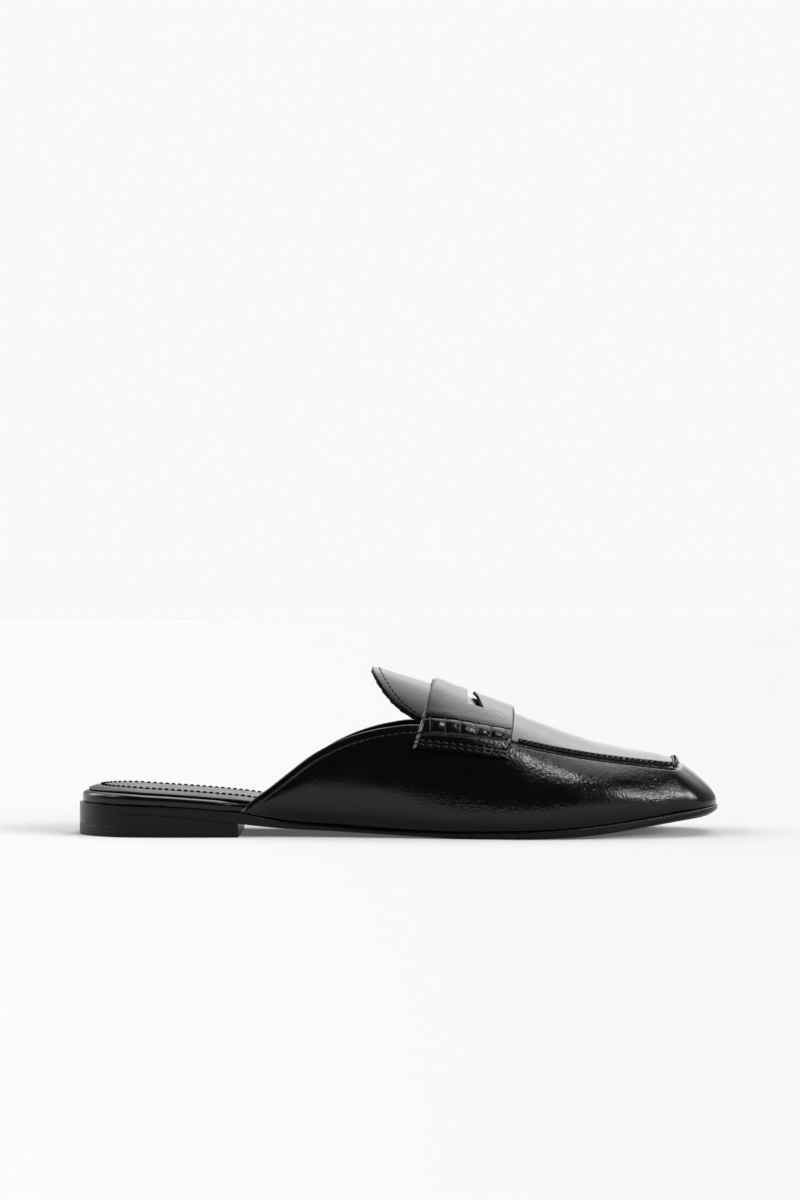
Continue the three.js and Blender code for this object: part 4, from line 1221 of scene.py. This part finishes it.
def puffs(t):
    """Lower and upper end of the five puffs, above the strap's lower end."""
    return mix(6.0, 8.0, t) * MM, mix(13.2, 13.7, t) * MM


def strap_lift(point, share, t, gap):
    """Height of the strap's outer face above the form, gap being its distance to the lower end."""
    low = smooth((share - 0.5) * 2)
    height = mix(STRAP_LIFT + STRAP_THICKNESS, GAP + STRAP_LOW_THICKNESS, low)
    width = mix(STRAP_FRONT[0] - STRAP_BACK[0], STRAP_FRONT[1] - STRAP_BACK[1], share * share)
    from_back, from_front = t * width, (1 - t) * width
    height += 0.55 * MM * (1 - smooth(from_back / (9 * MM))) * (1 - smooth((share - 0.3) / 0.35))
    height -= (1.1 * MM * max(0, 1 - from_back / (2.6 * MM)) ** 2
               + 0.8 * MM * max(0, 1 - from_front / (1.4 * MM)) ** 2)
    bottom, top = puffs(t)
    height += 0.14 * MM * dent(gap - top - 2.6 * MM, 2.4 * MM)
    middle, reach = (bottom + top) / 2, (top - bottom) / 2
    if abs(gap - middle) < reach:
        roll = math.sqrt(1 - ((gap - middle) / reach) ** 2)
        pinch = max(dent(point.x - x, 0.9 * MM) for x in WHIPPED)
        inside = smooth((point.x - 143.6 * MM) / (1.5 * MM))
        inside *= 1 - smooth((point.x - 175.4 * MM) / (1.5 * MM))
        height += 0.8 * MM * roll * (1 - 0.8 * pinch) * inside
    height -= 0.5 * MM * dent(gap - top, 0.5 * MM) + 0.35 * MM * dent(gap - bottom, 0.5 * MM)
    height -= 0.2 * MM * (dent(gap - 1.5 * MM, 0.4 * MM) + dent(gap - 3.2 * MM, 0.4 * MM))
    return height


def on_strap(side, x, gap, more):
    """Point so far above the strap's outer face at a station, gap up from its lower end, and the normal."""
    t = (x - STRAP_BACK[1]) / (STRAP_FRONT[1] - STRAP_BACK[1])
    k = min(15, int(t * 16))
    end = mix(strap_end[side, k], strap_end[side, k + 1], t * 16 - k)
    point = over_the_top(side, x, end - gap)
    ahead = over_the_top(side, x + MM, end - gap) - point
    below = over_the_top(side, x, end - gap + MM) - point
    normal = ahead.cross(below).normalized() * side
    normal = normal if normal.y * side > 0 else -normal
    return in_frame(*(point + normal * (strap_lift(point, 1 - gap / end, t, gap) + more))), normal


strap_points = [[p + n * strap_lift(p, fact[4], fact[3], gap) for p, n, fact, gap in zip(*parts)]
                for parts in zip(base, base_normals, strap_rows, from_end)]
strap = laid_grid("saddle_strap_leather", strap_points)
middle_column = SLOT_COLUMNS + LOW_COLUMNS
bpy.ops.object.mode_set(mode="EDIT")
bpy.ops.mesh.select_all(action="DESELECT")
bpy.ops.mesh.select_mode(type="FACE")
bpy.ops.object.mode_set(mode="OBJECT")
row_of, column_of = strap.data.attributes["row"].data, strap.data.attributes["column"].data
for face in strap.data.polygons:
    in_slot = all(BACK_ROWS <= row_of[v].value <= BACK_ROWS + SLOT_ROWS
                  and abs(column_of[v].value - middle_column) <= SLOT_COLUMNS for v in face.vertices)
    face.select = in_slot
bpy.ops.object.mode_set(mode="EDIT")
bpy.ops.mesh.delete(type="FACE")
bpy.ops.mesh.select_mode(type="VERT")
bpy.ops.object.mode_set(mode="OBJECT")
thicken(strap, STRAP_LOW_THICKNESS, 0.5 * MM)
strap.data.materials.append(polished_calf)
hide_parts("saddle_strap")
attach(strap, "root")

# thick waxed thread whipped round the rolled end between its puffs, and two rows through the
# strap's lower edge
whips, rows = [], []
for side in (LATERAL, MEDIAL):
    for x in WHIPPED:
        bottom, top = puffs((x - STRAP_BACK[1]) / (STRAP_FRONT[1] - STRAP_BACK[1]))
        whips.append([on_strap(side, x, mix(bottom - 0.3 * MM, top + 0.4 * MM, k / 14), 0.12 * MM)
                      for k in range(15)])
    stations = [mix(STRAP_BACK[1] + 2.5 * MM, STRAP_FRONT[1] - 2 * MM, k / 40) for k in range(41)]
    for gap in (1.5 * MM, 3.2 * MM):
        rows.append([on_strap(side, x, gap, 0.05 * MM) for x in stations])
strap_whips = stitch_row("strap_whips", whips, waxed_thread, 0.75 * MM, 1.1 * MM, 0.5 * MM, 0.5 * MM, 0.35)
strap_stitches = stitch_row("strap_stitches", rows, waxed_thread, pitch=3.0 * MM, length=2.0 * MM,
                            width=0.7 * MM, height=0.7 * MM, slant=-0.35)
for piece in (strap_whips, strap_stitches):
    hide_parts("saddle_strap")
    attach(piece, "root")
bpy.data.objects.remove(stitch)
